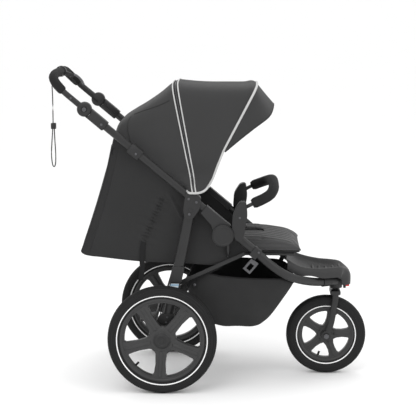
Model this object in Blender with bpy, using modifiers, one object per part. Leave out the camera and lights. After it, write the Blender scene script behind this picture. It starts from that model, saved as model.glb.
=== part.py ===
"""Three-wheel jogging stroller, built as separate solids.

Lengths are in metres and +Z is up. The stroller faces +X, and its right side is -Y.
Shapes are laid out from the point on the floor below the rear axle, in the plane y = 0,
and the whole stroller is then moved so that the origin is at the centre of its footprint.
"""

from math import cos, hypot, pi, radians, sin

import bmesh
import bpy
from mathutils import Matrix, Vector

# Driving dimensions.
REAR_AXLE_X = -0.1735
REAR_WHEEL_RADIUS = 0.200
FRONT_WHEEL_RADIUS = 0.1525
TYRE_WIDTH = 0.045
TRACK_HALF = 0.285
WHEELBASE = 0.612
SIDE_Y = 0.230
SEAT_SIDE_Y = 0.1905
TUBE_ANGLE = radians(40.0)
GAP = 0.0004

# Joint axes, as x and z on the side view.
HANDLE_PIVOT = (-0.278, 1.034)
FOLD_PIVOT = (0.220, 0.580)
LEG_PIVOT = (0.103, 0.670)
CANOPY_PIVOT = (0.120, 0.738)
RECLINE_PIVOT = (0.195, 0.482)
VISOR_PIVOT = (0.225, 0.880)
BUMPER_PIVOT = (0.302, 0.680)
STEER_X = 0.648
LINK_PIVOT = (0.300, 0.505)
LINK_END = (0.050, 0.390)
LATCH_PIVOT = (0.337, 0.488)
PEDAL_PIVOT = (-0.040, 0.212)
LEVER_PIVOT = (-0.352, 0.040, 1.142)

# Tube sections, as half heights and half widths.
UPPER_TUBE = (0.0135, 0.0115)
FRONT_TUBE = (0.0155, 0.0115)
LEG_TUBE = (0.0190, 0.0110)
SPOKES = 5
CURVE_SIDES = 10
# How far down the tube's line from the handle's pivot the upper tube meets the front one.
FOLD_SPLIT = 0.6733
SEAT_BOARD_Z = 0.4935


# ---------------------------------------------------------------- scene and materials

def clear_scene():
    for obj in list(bpy.data.objects):
        bpy.data.objects.remove(obj)


def finish(name, colour, roughness, metallic=0.0):
    """A Principled material, made once for each name."""
    found = bpy.data.materials.get(name)
    if found:
        return found
    made = bpy.data.materials.new(name)
    made.use_nodes = True
    shader = made.node_tree.nodes["Principled BSDF"]
    shader.inputs["Base Color"].default_value = (*colour, 1.0)
    shader.inputs["Roughness"].default_value = roughness
    shader.inputs["Metallic"].default_value = metallic
    made.diffuse_color = (*colour, 1.0)
    return made


def black_frame():
    return finish("frame_black", (0.035, 0.035, 0.037), 0.42, 0.3)


def black_plastic():
    return finish("plastic_black", (0.045, 0.045, 0.047), 0.55)


def tyre_rubber():
    return finish("tyre_rubber", (0.025, 0.025, 0.026), 0.8)


def foam():
    return finish("foam", (0.030, 0.030, 0.032), 0.9)


def cloth():
    return finish("fabric_charcoal", (0.055, 0.055, 0.058), 0.95)


def steel():
    return finish("steel", (0.55, 0.55, 0.56), 0.3, 1.0)


def webbing():
    return finish("webbing", (0.030, 0.030, 0.032), 0.85)


def empty(name, x, y, z, parent=None):
    made = bpy.data.objects.new(name, None)
    base = parent["laid_out_at"] if parent else (0.0, 0.0, 0.0)
    made.location = [a - b for a, b in zip((x, y, z), base)]
    made["laid_out_at"] = (x, y, z)
    made.parent = parent
    bpy.context.scene.collection.objects.link(made)
    return made


class Stroller:
    """The collections and the empties that the pieces are parented to."""

    def __init__(self):
        self.parts = bpy.data.collections.new("jogging_stroller")
        self.cutters = bpy.data.collections.new("cutters")
        for made in (self.parts, self.cutters):
            bpy.context.scene.collection.children.link(made)
        self.base = empty("stroller_base", 0.0, 0.0, 0.0)
        self.pivots = {"frame": self.base}

    def pivot(self, name, x, z, y=0.0):
        self.pivots[name] = empty(name + "_pivot", x, y, z, self.base)

    def add(self, obj, pivot, material):
        """Puts an object that was laid out in side-view coordinates on its pivot."""
        if obj.type == "CURVE":
            obj = as_mesh(obj)
        obj.data.materials.clear()
        obj.data.materials.append(material)
        parent = self.pivots[pivot]
        obj.parent = parent
        obj.location = obj.location - Vector(parent["laid_out_at"])
        self.parts.objects.link(obj)
        return obj

    def helper(self, obj):
        """A cutter or a guide: it shapes other objects and isn't a piece itself."""
        obj.hide_render = True
        obj.display_type = "WIRE"
        obj.parent = self.base
        self.cutters.objects.link(obj)
        return obj


# ---------------------------------------------------------------- shapes

def smooth_path(points, per_span=4):
    """A Catmull-Rom curve through the points, as a list of points."""
    ends = [points[0], *points, points[-1]]
    path = []
    for p0, p1, p2, p3 in zip(ends, ends[1:], ends[2:], ends[3:]):
        p0, p1, p2, p3 = (Vector(p) for p in (p0, p1, p2, p3))
        for step in range(per_span):
            t = step / per_span
            path.append(
                0.5 * (2 * p1 + (p2 - p0) * t + (2 * p0 - 5 * p1 + 4 * p2 - p3) * t**2
                       + (3 * p1 - p0 - 3 * p2 + p3) * t**3)
            )
    path.append(Vector(points[-1]))
    return path


def curve_object(name, path, cyclic=False):
    data = bpy.data.curves.new(name, "CURVE")
    data.dimensions = "3D"
    data.twist_mode = "Z_UP"
    spline = data.splines.new("POLY")
    spline.points.add(len(path) - 1)
    for point, place in zip(spline.points, path):
        point.co = (*place, 1.0)
    spline.use_cyclic_u = cyclic
    data.use_fill_caps = not cyclic
    return bpy.data.objects.new(name, data)


def tube(name, path, radius, resolution=2):
    """A round tube or wire along a path."""
    obj = curve_object(name, path)
    obj.data.bevel_depth = radius
    obj.data.bevel_resolution = resolution
    return obj


def oval_section(half_height, half_width, sides=CURVE_SIDES):
    name = f"oval_{half_height * 1e4:.0f}_{half_width * 1e4:.0f}_{sides}"
    found = bpy.data.objects.get(name)
    if found:
        return found
    ring = [
        (half_width * cos(2 * pi * k / sides), half_height * sin(2 * pi * k / sides), 0.0)
        for k in range(sides)
    ]
    return STROLLER.helper(curve_object(name, ring, cyclic=True))


def oval_tube(name, path, half_height, half_width, sides=CURVE_SIDES):
    """A tube whose section is an upright oval."""
    obj = curve_object(name, path)
    obj.data.bevel_mode = "OBJECT"
    obj.data.bevel_object = oval_section(half_height, half_width, sides)
    return obj


def as_mesh(obj):
    """Replaces a curve or a modified mesh by the plain mesh that it shows."""
    bpy.context.scene.collection.objects.link(obj)
    bpy.context.view_layer.update()
    graph = bpy.context.evaluated_depsgraph_get()
    mesh = bpy.data.meshes.new_from_object(obj.evaluated_get(graph))
    work = bmesh.new()
    work.from_mesh(mesh)
    bmesh.ops.remove_doubles(work, verts=work.verts, dist=0.00005)
    bmesh.ops.recalc_face_normals(work, faces=work.faces)
    work.to_mesh(mesh)
    work.free()
    made = bpy.data.objects.new(obj.name, mesh)
    made.location = obj.location
    made.rotation_euler = obj.rotation_euler
    name = obj.name
    bpy.data.objects.remove(obj)
    made.name = name
    return made


def plate(name, outline, thickness, y):
    """A flat piece on the side view: outline holds x and z, and y is its middle."""
    data = bpy.data.curves.new(name, "CURVE")
    data.dimensions = "2D"
    data.fill_mode = "BOTH"
    data.extrude = thickness / 2
    spline = data.splines.new("POLY")
    spline.points.add(len(outline) - 1)
    for point, (x, z) in zip(spline.points, outline):
        point.co = (x, z, 0.0, 1.0)
    spline.use_cyclic_u = True
    obj = bpy.data.objects.new(name, data)
    obj.rotation_euler = (pi / 2, 0.0, 0.0)
    obj.location = (0.0, y, 0.0)
    return obj


def rounded(outline, radius, steps=3):
    """The outline again, with each corner rounded."""
    made = []
    count = len(outline)
    for k, corner in enumerate(outline):
        corner = Vector(corner)
        before, after = Vector(outline[k - 1]), Vector(outline[(k + 1) % count])
        cut = min(radius, (before - corner).length * 0.45, (after - corner).length * 0.45)
        start = corner + (before - corner).normalized() * cut
        end = corner + (after - corner).normalized() * cut
        for step in range(steps + 1):
            t = step / steps
            made.append(tuple((1 - t) ** 2 * start + 2 * t * (1 - t) * corner + t * t * end))
    return made


def box(name, size, centre, turn=0.0, bevel=0.0):
    """A box turned about the Y axis, with rounded edges where bevel says."""
    mesh = bpy.data.meshes.new(name)
    work = bmesh.new()
    bmesh.ops.create_cube(work, size=1.0)
    bmesh.ops.scale(work, vec=size, verts=work.verts)
    work.to_mesh(mesh)
    work.free()
    obj = bpy.data.objects.new(name, mesh)
    obj.location = centre
    obj.rotation_euler = (0.0, turn, 0.0)
    if bevel:
        soften = obj.modifiers.new("rounded_edges", "BEVEL")
        soften.width = bevel
        soften.segments = 2
        soften.limit_method = "ANGLE"
    return obj


def disc(name, radius, thickness, centre, bevel=0.0, sides=28, axis="Y"):
    """A cylinder along Y, or along Z."""
    mesh = bpy.data.meshes.new(name)
    work = bmesh.new()
    bmesh.ops.create_cone(
        work, cap_ends=True, segments=sides, radius1=radius, radius2=radius, depth=thickness
    )
    if axis == "Y":
        bmesh.ops.rotate(work, verts=work.verts, matrix=Matrix.Rotation(pi / 2, 3, "X"))
    work.to_mesh(mesh)
    work.free()
    obj = bpy.data.objects.new(name, mesh)
    obj.location = centre
    if bevel:
        soften = obj.modifiers.new("rounded_edges", "BEVEL")
        soften.width = bevel
        soften.segments = 2
        soften.limit_method = "ANGLE"
    return obj


def turned(name, profile, centre, steps=40):
    """A closed profile of (radius, height) turned about a line along Y, with the height along Y."""
    mesh = bpy.data.meshes.new(name)
    count = len(profile)
    edges = [(k, (k + 1) % count) for k in range(count)]
    mesh.from_pydata([(radius, 0.0, height) for radius, height in profile], edges, [])
    obj = bpy.data.objects.new(name, mesh)
    screw = obj.modifiers.new("turned", "SCREW")
    screw.steps = steps
    screw.render_steps = steps
    screw.use_merge_vertices = True
    screw.merge_threshold = 0.00005
    obj.rotation_euler = (-pi / 2, 0.0, 0.0)
    obj.location = centre
    return obj


def boolean(obj, other, operation):
    made = obj.modifiers.new(operation.lower() + "_" + other.name, "BOOLEAN")
    made.operation = operation
    made.solver = "EXACT"
    made.object = other
    return obj


def joined(obj, *others):
    """obj with the others united to it. The others become helpers."""
    for other in others:
        boolean(obj, STROLLER.helper(other), "UNION")
    return obj


def cut(obj, *cutters):
    for cutter in cutters:
        boolean(obj, STROLLER.helper(cutter), "DIFFERENCE")
    return obj


def sheet(name, rows, thickness, offset=0.0):
    """A surface through rows of points, given a thickness. It is a loft between unlike curves."""
    mesh = bpy.data.meshes.new(name)
    work = bmesh.new()
    grid = [[work.verts.new(point) for point in row] for row in rows]
    for row, following in zip(grid, grid[1:]):
        for k in range(len(row) - 1):
            work.faces.new((row[k], row[k + 1], following[k + 1], following[k]))
    bmesh.ops.recalc_face_normals(work, faces=work.faces)
    work.to_mesh(mesh)
    work.free()
    obj = bpy.data.objects.new(name, mesh)
    wall = obj.modifiers.new("wall", "SOLIDIFY")
    wall.thickness = thickness
    wall.offset = offset
    return obj


def along_tube(distance, below=0.0):
    """x and z of a point that far down the main tube from the handle's pivot, and that far under it."""
    x, z = HANDLE_PIVOT
    return (
        x + distance * cos(TUBE_ANGLE) - below * sin(TUBE_ANGLE),
        z - distance * sin(TUBE_ANGLE) - below * cos(TUBE_ANGLE),
    )


def sides():
    """The name and the sign of y of each side."""
    return (("right", -1), ("left", 1))


# ---------------------------------------------------------------- wheels

def tyre(name, radius, centre):
    """A pneumatic tyre with a rounded crown and a flat seat on the rim."""
    half = TYRE_WIDTH / 2
    seat = radius - 0.0435
    crown = [
        (radius - half + half * sin(angle), half * cos(angle))
        for angle in (radians(a) for a in (0, 30, 60, 90, 120, 150, 180))
    ]
    profile = [*crown, (seat + 0.006, -0.016), (seat, -0.013), (seat, 0.013), (seat + 0.006, 0.016)]
    return turned(name, profile, centre)


def rim(name, radius, centre, first_spoke, hub_radius, outward=-1):
    """A moulded rim with five spokes and a bored hub. outward is the side that the spokes' face is on."""
    seat = radius - 0.0435 - GAP
    inner = seat - 0.0105
    ring = turned(name, [(inner, 0.012), (seat, 0.0155), (seat, -0.0155), (inner, -0.012)][::-1], centre)
    ring = as_mesh(ring)
    arms = []
    for k in range(SPOKES):
        angle = radians(first_spoke + 360.0 * k / SPOKES)
        reach = inner + 0.004
        middle = reach / 2 + 0.004
        arm = box(
            f"{name}_spoke_{k}",
            (reach - 0.008, 0.016, 0.034 if radius > 0.16 else 0.028),
            (centre[0] + middle * cos(angle), centre[1] + outward * 0.002, centre[2] + middle * sin(angle)),
            -angle,
        )
        arms.append(arm)
    hub = disc(name + "_hub", hub_radius, 0.036, centre, sides=20)
    joined(ring, hub, *arms)
    return cut(ring, disc(name + "_bore", 0.0068, 0.08, centre, sides=16))


def rear_wheels():
    for side, sign in sides():
        centre = (0.0, sign * TRACK_HALF, REAR_WHEEL_RADIUS)
        pivot = "rear_wheel_" + side
        STROLLER.pivot(pivot, 0.0, REAR_WHEEL_RADIUS, sign * TRACK_HALF)
        wheel = rim("rear_rim_" + side, REAR_WHEEL_RADIUS, centre, -96, 0.034, sign)
        STROLLER.add(wheel, pivot, black_plastic())
        STROLLER.add(tyre("rear_tyre_" + side, REAR_WHEEL_RADIUS, centre), pivot, tyre_rubber())
        cap_y = sign * (TRACK_HALF + 0.018 + GAP + 0.0045)
        cap = disc("hub_cap_" + side, 0.029, 0.009, (0.0, cap_y, REAR_WHEEL_RADIUS), 0.003, 24)
        STROLLER.add(cap, pivot, black_plastic())


def front_wheel():
    centre = (WHEELBASE, 0.0, FRONT_WHEEL_RADIUS)
    STROLLER.pivot("front_wheel", WHEELBASE, FRONT_WHEEL_RADIUS)
    STROLLER.add(rim("front_rim", FRONT_WHEEL_RADIUS, centre, 3, 0.024), "front_wheel", black_plastic())
    STROLLER.add(tyre("front_tyre", FRONT_WHEEL_RADIUS, centre), "front_wheel", tyre_rubber())


def fork():
    """The fork with its steering stem, its axle and the swivel lock's knob."""
    STROLLER.pivot("fork", STEER_X, 0.35)
    crown = box("fork", (0.040, 0.078, 0.018), (STEER_X - 0.003, 0.0, 0.3195), 0.0, 0.004)
    crown = as_mesh(crown)
    stem = disc("fork_stem", 0.0090, 0.066, (STEER_X, 0.0, 0.353), sides=16, axis="Z")
    blades = []
    for side, sign in sides():
        path = [
            (STEER_X - 0.003, sign * 0.034, 0.318),
            (STEER_X - 0.008, sign * 0.034, 0.262),
            (WHEELBASE + 0.016, sign * 0.034, 0.205),
            (WHEELBASE, sign * 0.034, FRONT_WHEEL_RADIUS - 0.014),
        ]
        blades.append(as_mesh(oval_tube("fork_blade_" + side, smooth_path(path, 3), 0.0125, 0.0060)))
    lugs = [
        disc(f"fork_lug_{side}", 0.020, 0.013, (WHEELBASE, sign * 0.034, FRONT_WHEEL_RADIUS), sides=20)
        for side, sign in sides()
    ]
    joined(crown, stem, *blades, *lugs)
    cut(crown, disc("fork_axle_hole", 0.0060 + GAP, 0.12, (WHEELBASE, 0.0, FRONT_WHEEL_RADIUS), sides=16))
    STROLLER.add(crown, "fork", black_frame())
    axle = disc("front_axle", 0.0060, 0.100, (WHEELBASE, 0.0, FRONT_WHEEL_RADIUS), sides=16)
    axle = as_mesh(axle)
    nuts = [
        disc(f"front_nut_{side}", 0.0105, 0.007, (WHEELBASE, sign * 0.0452, FRONT_WHEEL_RADIUS), sides=6)
        for side, sign in sides()
    ]
    joined(axle, *nuts)
    STROLLER.add(axle, "fork", steel())


# ---------------------------------------------------------------- frame

def upper_tube_path(sign, start=0.052, end=FOLD_SPLIT - 0.0008):
    return [
        (along_tube(start)[0], sign * SIDE_Y, along_tube(start)[1]),
        (along_tube(end)[0], sign * SIDE_Y, along_tube(end)[1]),
    ]


def tube_cutter(name, path, section, extra=GAP):
    return as_mesh(oval_tube(name, path, section[0] + extra, section[1] + extra))


def upper_tubes():
    x, z = FOLD_PIVOT
    for side, sign in sides():
        body = as_mesh(oval_tube("upper_tube_" + side, upper_tube_path(sign), *UPPER_TUBE))
        notch = disc(f"upper_tube_notch_{side}", 0.0235, 0.040, (x, sign * SIDE_Y, z), sides=28)
        STROLLER.add(cut(body, notch), "frame", black_frame())


def sleeve_block(name, sign, start, end, half_height, half_width, bevel):
    """A moulded block round the upper tube, between two distances from the handle's pivot."""
    middle = along_tube((start + end) / 2)
    block = box(
        name,
        (end - start, 2 * half_width, 2 * half_height),
        (middle[0], sign * SIDE_Y, middle[1]),
        TUBE_ANGLE,
        bevel,
    )
    block = as_mesh(block)
    return cut(block, tube_cutter(name + "_tube_hole", upper_tube_path(sign, 0.051), UPPER_TUBE))


def handle_hinges():
    """The lower halves of the handle's hinges, clamped on the upper tubes and hollowed round the knobs."""
    x, z = HANDLE_PIVOT
    for side, sign in sides():
        block = sleeve_block("handle_hinge_" + side, sign, 0.0120, 0.098, 0.0185, 0.0165, 0.004)
        cut(block, disc(f"knob_room_{side}", 0.0271, 0.0400, (x, sign * SIDE_Y, z), sides=48))
        STROLLER.add(block, "frame", black_plastic())


def canopy_clips():
    for side, sign in sides():
        block = sleeve_block("canopy_clip_" + side, sign, 0.212, 0.262, 0.0195, 0.0160, 0.004)
        STROLLER.add(block, "frame", black_plastic())


def leg_joints():
    """The castings under the upper tubes, each with the pin that its rear leg turns on."""
    outline = rounded(
        [
            (0.090, 0.742), (0.140, 0.719), (0.136, 0.676), (0.112, 0.640), (0.082, 0.640), (0.076, 0.672),
            (0.082, 0.716),
        ],
        0.008,
    )
    x, z = LEG_PIVOT
    for side, sign in sides():
        y = sign * SIDE_Y
        casting = as_mesh(plate("leg_joint_" + side, outline, 0.036, y))
        slot = box(f"leg_slot_{side}", (0.110, 2 * LEG_TUBE[1] + 0.0012, 0.072), (0.100, y, 0.658))
        hole = tube_cutter(f"leg_joint_hole_{side}", upper_tube_path(sign), UPPER_TUBE)
        cut(casting, hole, slot)
        casting = as_mesh(casting)
        pin = disc(f"leg_pin_{side}", 0.0042, 0.0300, (x, y, z), sides=14)
        rivet = disc(f"leg_rivet_{side}", 0.0070, 0.0040, (x, y + sign * 0.0190, z), sides=14)
        joined(casting, pin, rivet)
        STROLLER.add(casting, "frame", black_plastic())


def fold_hubs():
    """The fold joints' outer discs, each with the block that holds the end of its upper tube."""
    x, z = FOLD_PIVOT
    for side, sign in sides():
        body = as_mesh(disc("fold_hub_" + side, 0.0400, 0.0200, (x, sign * (SIDE_Y + 0.0235), z), 0.004, 32))
        outline = [
            along_tube(0.560, -0.0170), along_tube(FOLD_SPLIT - 0.0008, -0.0170),
            along_tube(FOLD_SPLIT - 0.0008, 0.0480), along_tube(0.6490, 0.0480),
            along_tube(0.618, 0.0270), along_tube(0.560, 0.0175),
        ]
        lug = as_mesh(plate(f"fold_hub_lug_{side}", outline, 0.0336, sign * (SIDE_Y + 0.0022)))
        joined(body, lug)
        hole = tube_cutter(f"fold_hub_hole_{side}", upper_tube_path(sign), UPPER_TUBE)
        room = disc(f"fold_hub_room_{side}", 0.0235, 0.0262, (x, sign * SIDE_Y, z), sides=28)
        cut(body, hole, room)
        STROLLER.add(body, "frame", black_plastic())


def seat_tube_path():
    """From one fold hub, under the cushion, to the other."""
    path = []
    for sign in (-1, 1):
        side = [
            (0.238, sign * 0.2060, 0.560), (0.238, sign * 0.2040, 0.514),
            (0.238, sign * 0.1920, SEAT_BOARD_Z + 0.0013), (0.238, sign * 0.1600, SEAT_BOARD_Z - 0.0007),
        ]
        path += side if sign < 0 else side[::-1]
    return smooth_path(path, 3)


def seat_frame():
    """The board that the cushion lies on, with the cross tube that holds it to the fold hubs."""
    bar = as_mesh(tube("seat_frame", seat_tube_path(), 0.0065))
    board = box("seat_board", (0.250, 0.330, 0.008), (0.359, 0.0, SEAT_BOARD_Z), 0.0, 0.002)
    joined(bar, as_mesh(board))
    STROLLER.add(bar, "frame", black_frame())


def front_tube_path(sign, lead=0.0):
    """From the fold hub forwards and inwards to the steering head."""
    start = along_tube(FOLD_SPLIT + 0.0008 - lead)
    path = [
        (start[0], sign * SIDE_Y, start[1]),
        (0.330, sign * SIDE_Y, 0.523),
        (0.400, sign * 0.226, 0.462),
        (0.452, sign * 0.202, 0.424),
        (0.505, sign * 0.158, 0.397),
        (0.562, sign * 0.104, 0.378),
        (0.612, sign * 0.058, 0.369),
        (0.634, sign * 0.036, 0.367),
    ]
    return [Vector(path[0])] + smooth_path(path[1:], 3)


def front_frame():
    """The front tubes, each with the eye that turns in its fold hub, and the steering head."""
    STROLLER.pivot("front_frame", *FOLD_PIVOT)
    x, z = FOLD_PIVOT
    for side, sign in sides():
        body = as_mesh(oval_tube("front_tube_" + side, front_tube_path(sign), *FRONT_TUBE))
        eye = disc(f"front_eye_{side}", 0.0220, 0.0200, (x, sign * SIDE_Y, z), sides=28)
        joined(body, eye)
        STROLLER.add(body, "front_frame", black_frame())
    head = disc("steering_head", 0.0240, 0.0490, (STEER_X, 0.0, 0.3585), 0.003, 24, "Z")
    head = as_mesh(head)
    wings = [
        as_mesh(tube_end_socket(f"head_socket_{side}", sign)) for side, sign in sides()
    ]
    joined(head, *wings)
    holes = [tube_cutter(f"head_hole_{side}", front_tube_path(sign), FRONT_TUBE) for side, sign in sides()]
    bore = disc("head_bore", 0.0098, 0.08, (STEER_X, 0.0, 0.3585), sides=20, axis="Z")
    cut(head, *holes, bore)
    STROLLER.add(head, "front_frame", black_plastic())


def tube_end_socket(name, sign):
    path = [(0.592, sign * 0.0765, 0.3715), (0.646, sign * 0.026, 0.3665)]
    return oval_tube(name, path, FRONT_TUBE[0] + 0.003, FRONT_TUBE[1] + 0.003, 12)


def rear_legs():
    STROLLER.pivot("rear_legs", *LEG_PIVOT)
    x, z = LEG_PIVOT
    lean = 0.213
    for side, sign in sides():
        y = sign * SIDE_Y
        path = [(x, y, z + 0.004), (x - lean * (z - 0.235), y, 0.235)]
        leg = as_mesh(oval_tube("rear_leg_" + side, path, *LEG_TUBE))
        foot = as_mesh(
            plate(
                f"leg_foot_{side}",
                rounded(
                    [
                        (-0.026, 0.182), (-0.024, 0.262), (-0.006, 0.285), (0.044, 0.285), (0.034, 0.240),
                        (0.026, 0.182),
                    ],
                    0.012,
                ),
                0.026,
                y,
            )
        )
        joined(leg, foot)
        pin_hole = disc(f"leg_top_hole_{side}", 0.0046, 0.08, (x, y, z), sides=14)
        axle_hole = disc(f"leg_axle_hole_{side}", 0.0126, 0.08, (0.0, y, REAR_WHEEL_RADIUS), sides=20)
        cut(leg, pin_hole, axle_hole)
        STROLLER.add(leg, "rear_legs", black_frame())
    axle = disc("rear_axle", 0.0120, 0.500, (0.0, 0.0, REAR_WHEEL_RADIUS), sides=20)
    axle = as_mesh(axle)
    stubs = disc("rear_stub", 0.0062, 2 * (TRACK_HALF + 0.016), (0.0, 0.0, REAR_WHEEL_RADIUS), sides=16)
    joined(axle, stubs)
    STROLLER.add(axle, "rear_legs", black_frame())


def fold_links():
    """The flat bars that make the rear legs follow the front frame."""
    STROLLER.pivot("fold_links", *LINK_PIVOT)
    start, end = Vector(LINK_PIVOT), Vector(LINK_END)
    across = Vector((start.y - end.y, end.x - start.x)).normalized() * 0.0070
    for side, sign in sides():
        outline = rounded([start + across, start - across, end - across, end + across], 0.006)
        bar = plate("fold_link_" + side, outline, 0.0040, sign * 0.2100)
        STROLLER.add(bar, "fold_links", black_frame())


def brake_pedal():
    """The parking brake's foot bar, which turns on the rear axle's bracket."""
    STROLLER.pivot("brake_pedal", *PEDAL_PIVOT)
    x, z = PEDAL_PIVOT
    bar = as_mesh(tube("brake_pedal", [(x, -0.2140, z), (x, 0.2140, z)], 0.0060))
    foot = box("pedal_foot", (0.062, 0.100, 0.009), (x - 0.028, 0.0, z + 0.003), radians(-8), 0.003)
    joined(bar, as_mesh(foot))
    STROLLER.add(bar, "brake_pedal", black_plastic())


# ---------------------------------------------------------------- footrest and bumper bar

def footrest_tray():
    """A moulded scoop between the front tubes, open at the back and closed by a deep nose."""
    stations = [
        # x, half width, rim z, floor z, skirt z
        (0.458, 0.150, 0.468, 0.452, 0.434),
        (0.500, 0.140, 0.443, 0.421, 0.409),
        (0.545, 0.124, 0.431, 0.406, 0.4050),
        (0.590, 0.106, 0.427, 0.399, 0.392),
        (0.630, 0.090, 0.427, 0.401, 0.391),
        (0.662, 0.074, 0.425, 0.411, 0.390),
    ]
    nose = [
        # x, half width, top z, skirt z
        (0.686, 0.058, 0.412, 0.385),
        (0.700, 0.042, 0.390, 0.374),
        (0.701, 0.034, 0.352, 0.352),
    ]
    rows = []
    for x, half, top, floor, skirt in stations:
        side = [
            (x, -half, skirt), (x, -half, (skirt + top) / 2 + 0.006), (x, -half + 0.012, top),
            (x, -half + 0.040, floor + 0.006),
        ]
        rows.append(side + [(x, 0.0, floor)] + [(px, -py, pz) for px, py, pz in side[::-1]])
    for x, half, top, skirt in nose:
        side = [
            (x - 0.034, -half, skirt), (x - 0.016, -half * 0.95, (skirt + top) / 2),
            (x - 0.006, -half * 0.75, top), (x, -half * 0.35, top),
        ]
        rows.append(side + [(x, 0.0, top)] + [(px, -py, pz) for px, py, pz in side[::-1]])
    STROLLER.add(sheet("footrest_tray", rows, 0.0040), "front_frame", black_plastic())


def bumper():
    """The bumper bar with its foam, and the leaf-shaped mounts that it turns on."""
    leaf = rounded(
        [
            (0.252, 0.610), (0.256, 0.664), (0.280, 0.702), (0.303, 0.704), (0.309, 0.655), (0.292, 0.556),
            (0.266, 0.560),
        ],
        0.012,
    )
    under = [
        along_tube(0.640, -0.0250), along_tube(0.780, -0.0250),
        along_tube(0.780, 0.060), along_tube(0.640, 0.060),
    ]
    for side, sign in sides():
        mount = as_mesh(plate("bumper_mount_" + side, leaf, 0.0435, sign * (SIDE_Y + 0.0063)))
        tube_room = as_mesh(plate(f"mount_tube_room_{side}", under, 0.0400, sign * (SIDE_Y - 0.0073)))
        cut(mount, tube_room)
        mount = as_mesh(mount)
        hub_place = (FOLD_PIVOT[0], sign * (SIDE_Y + 0.0235), FOLD_PIVOT[1])
        room = disc(f"mount_room_{side}", 0.0404, 0.030, hub_place, sides=32)
        slot = box(f"mount_slot_{side}", (0.060, 0.0146, 0.060), (0.318, sign * (SIDE_Y - 0.0010), 0.699))
        cut(mount, room, slot)
        STROLLER.add(mount, "frame", black_plastic())
    STROLLER.pivot("bumper", *BUMPER_PIVOT)
    y = SIDE_Y - 0.0010
    half_path = [
        (BUMPER_PIVOT[0], y, BUMPER_PIVOT[1]), (0.330, y, 0.694), (0.368, 0.218, 0.710),
        (0.392, 0.190, 0.722),
        (0.404, 0.130, 0.732), (0.407, 0.060, 0.735),
    ]
    path = smooth_path([(px, -py, pz) for px, py, pz in half_path] + half_path[::-1], 3)
    STROLLER.add(tube("bumper_bar", path, 0.0068), "bumper", black_frame())
    sleeve = as_mesh(tube("bumper_foam", path[3:-3], 0.0195, 3))
    hole = as_mesh(tube("bumper_foam_hole", path, 0.0068 + GAP))
    STROLLER.add(cut(sleeve, hole), "bumper", foam())


def latch():
    """The clip on the right front tube and the loop that holds the folded frame shut."""
    clip = box("latch_clip", (0.030, 0.032, 0.040), (0.338, -SIDE_Y, 0.5125), TUBE_ANGLE, 0.003)
    clip = as_mesh(clip)
    cut(clip, tube_cutter("latch_clip_hole", front_tube_path(-1), FRONT_TUBE))
    x, z = LATCH_PIVOT
    y = -SIDE_Y - 0.004
    cut(clip, box("latch_slot", (0.040, 0.0110, 0.034), (x - 0.008, y, z - 0.006), TUBE_ANGLE))
    STROLLER.add(clip, "front_frame", black_plastic())
    STROLLER.pivot("fold_latch", x, z)
    loop = as_mesh(box("fold_latch", (0.034, 0.0080, 0.052), (x - 0.016, y, z - 0.0245), TUBE_ANGLE, 0.003))
    window = box("latch_window", (0.017, 0.020, 0.026), (x - 0.018, y, z - 0.028), TUBE_ANGLE)
    STROLLER.add(cut(loop, window), "fold_latch", steel())


# ---------------------------------------------------------------- handle

def handle_path():
    half = [
        (*along_tube(0.0)[:1], SIDE_Y, along_tube(0.0)[1]),
        (-0.318, 0.2290, 1.0670),
        (-0.352, 0.2270, 1.0960),
        (-0.380, 0.2150, 1.1240),
        (-0.394, 0.1850, 1.1430),
        (-0.397, 0.1300, 1.1520),
        (-0.397, 0.0600, 1.1540),
    ]
    return smooth_path([(x, -y, z) for x, y, z in half] + half[::-1], 3)


def handle():
    """The angle-adjustable handle: its bar with the hinge eyes, the foam, and the hand brake's bracket."""
    STROLLER.pivot("handle", *HANDLE_PIVOT)
    x, z = HANDLE_PIVOT
    path = handle_path()
    bar = as_mesh(tube("handle_bar", path, 0.0105))
    eyes = [
        disc(f"handle_eye_{side}", 0.0265, 0.0300, (x, sign * SIDE_Y, z), 0.004, 28)
        for side, sign in sides()
    ]
    joined(bar, *[as_mesh(eye) for eye in eyes])
    bores = [
        disc(f"handle_eye_bore_{side}", 0.0088, 0.0210, (x, sign * (SIDE_Y + 0.0085), z), sides=20)
        for side, sign in sides()
    ]
    cut(bar, *bores)
    STROLLER.add(bar, "handle", black_plastic())
    grip_path = path[6:-6]
    grip = as_mesh(tube("handle_grip", grip_path, 0.0170, 3))
    hole = as_mesh(tube("handle_grip_hole", path, 0.0105 + 2 * GAP))
    cut(grip, hole)
    STROLLER.add(grip, "handle", foam())
    for side, sign in sides():
        pivot = "handle_button_" + side
        STROLLER.pivot(pivot, x, z, sign * SIDE_Y)
        button = disc(pivot, 0.0084, 0.0140, (x, sign * (SIDE_Y + 0.0100), z), 0.001, 20)
        STROLLER.add(button, pivot, black_plastic())


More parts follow.
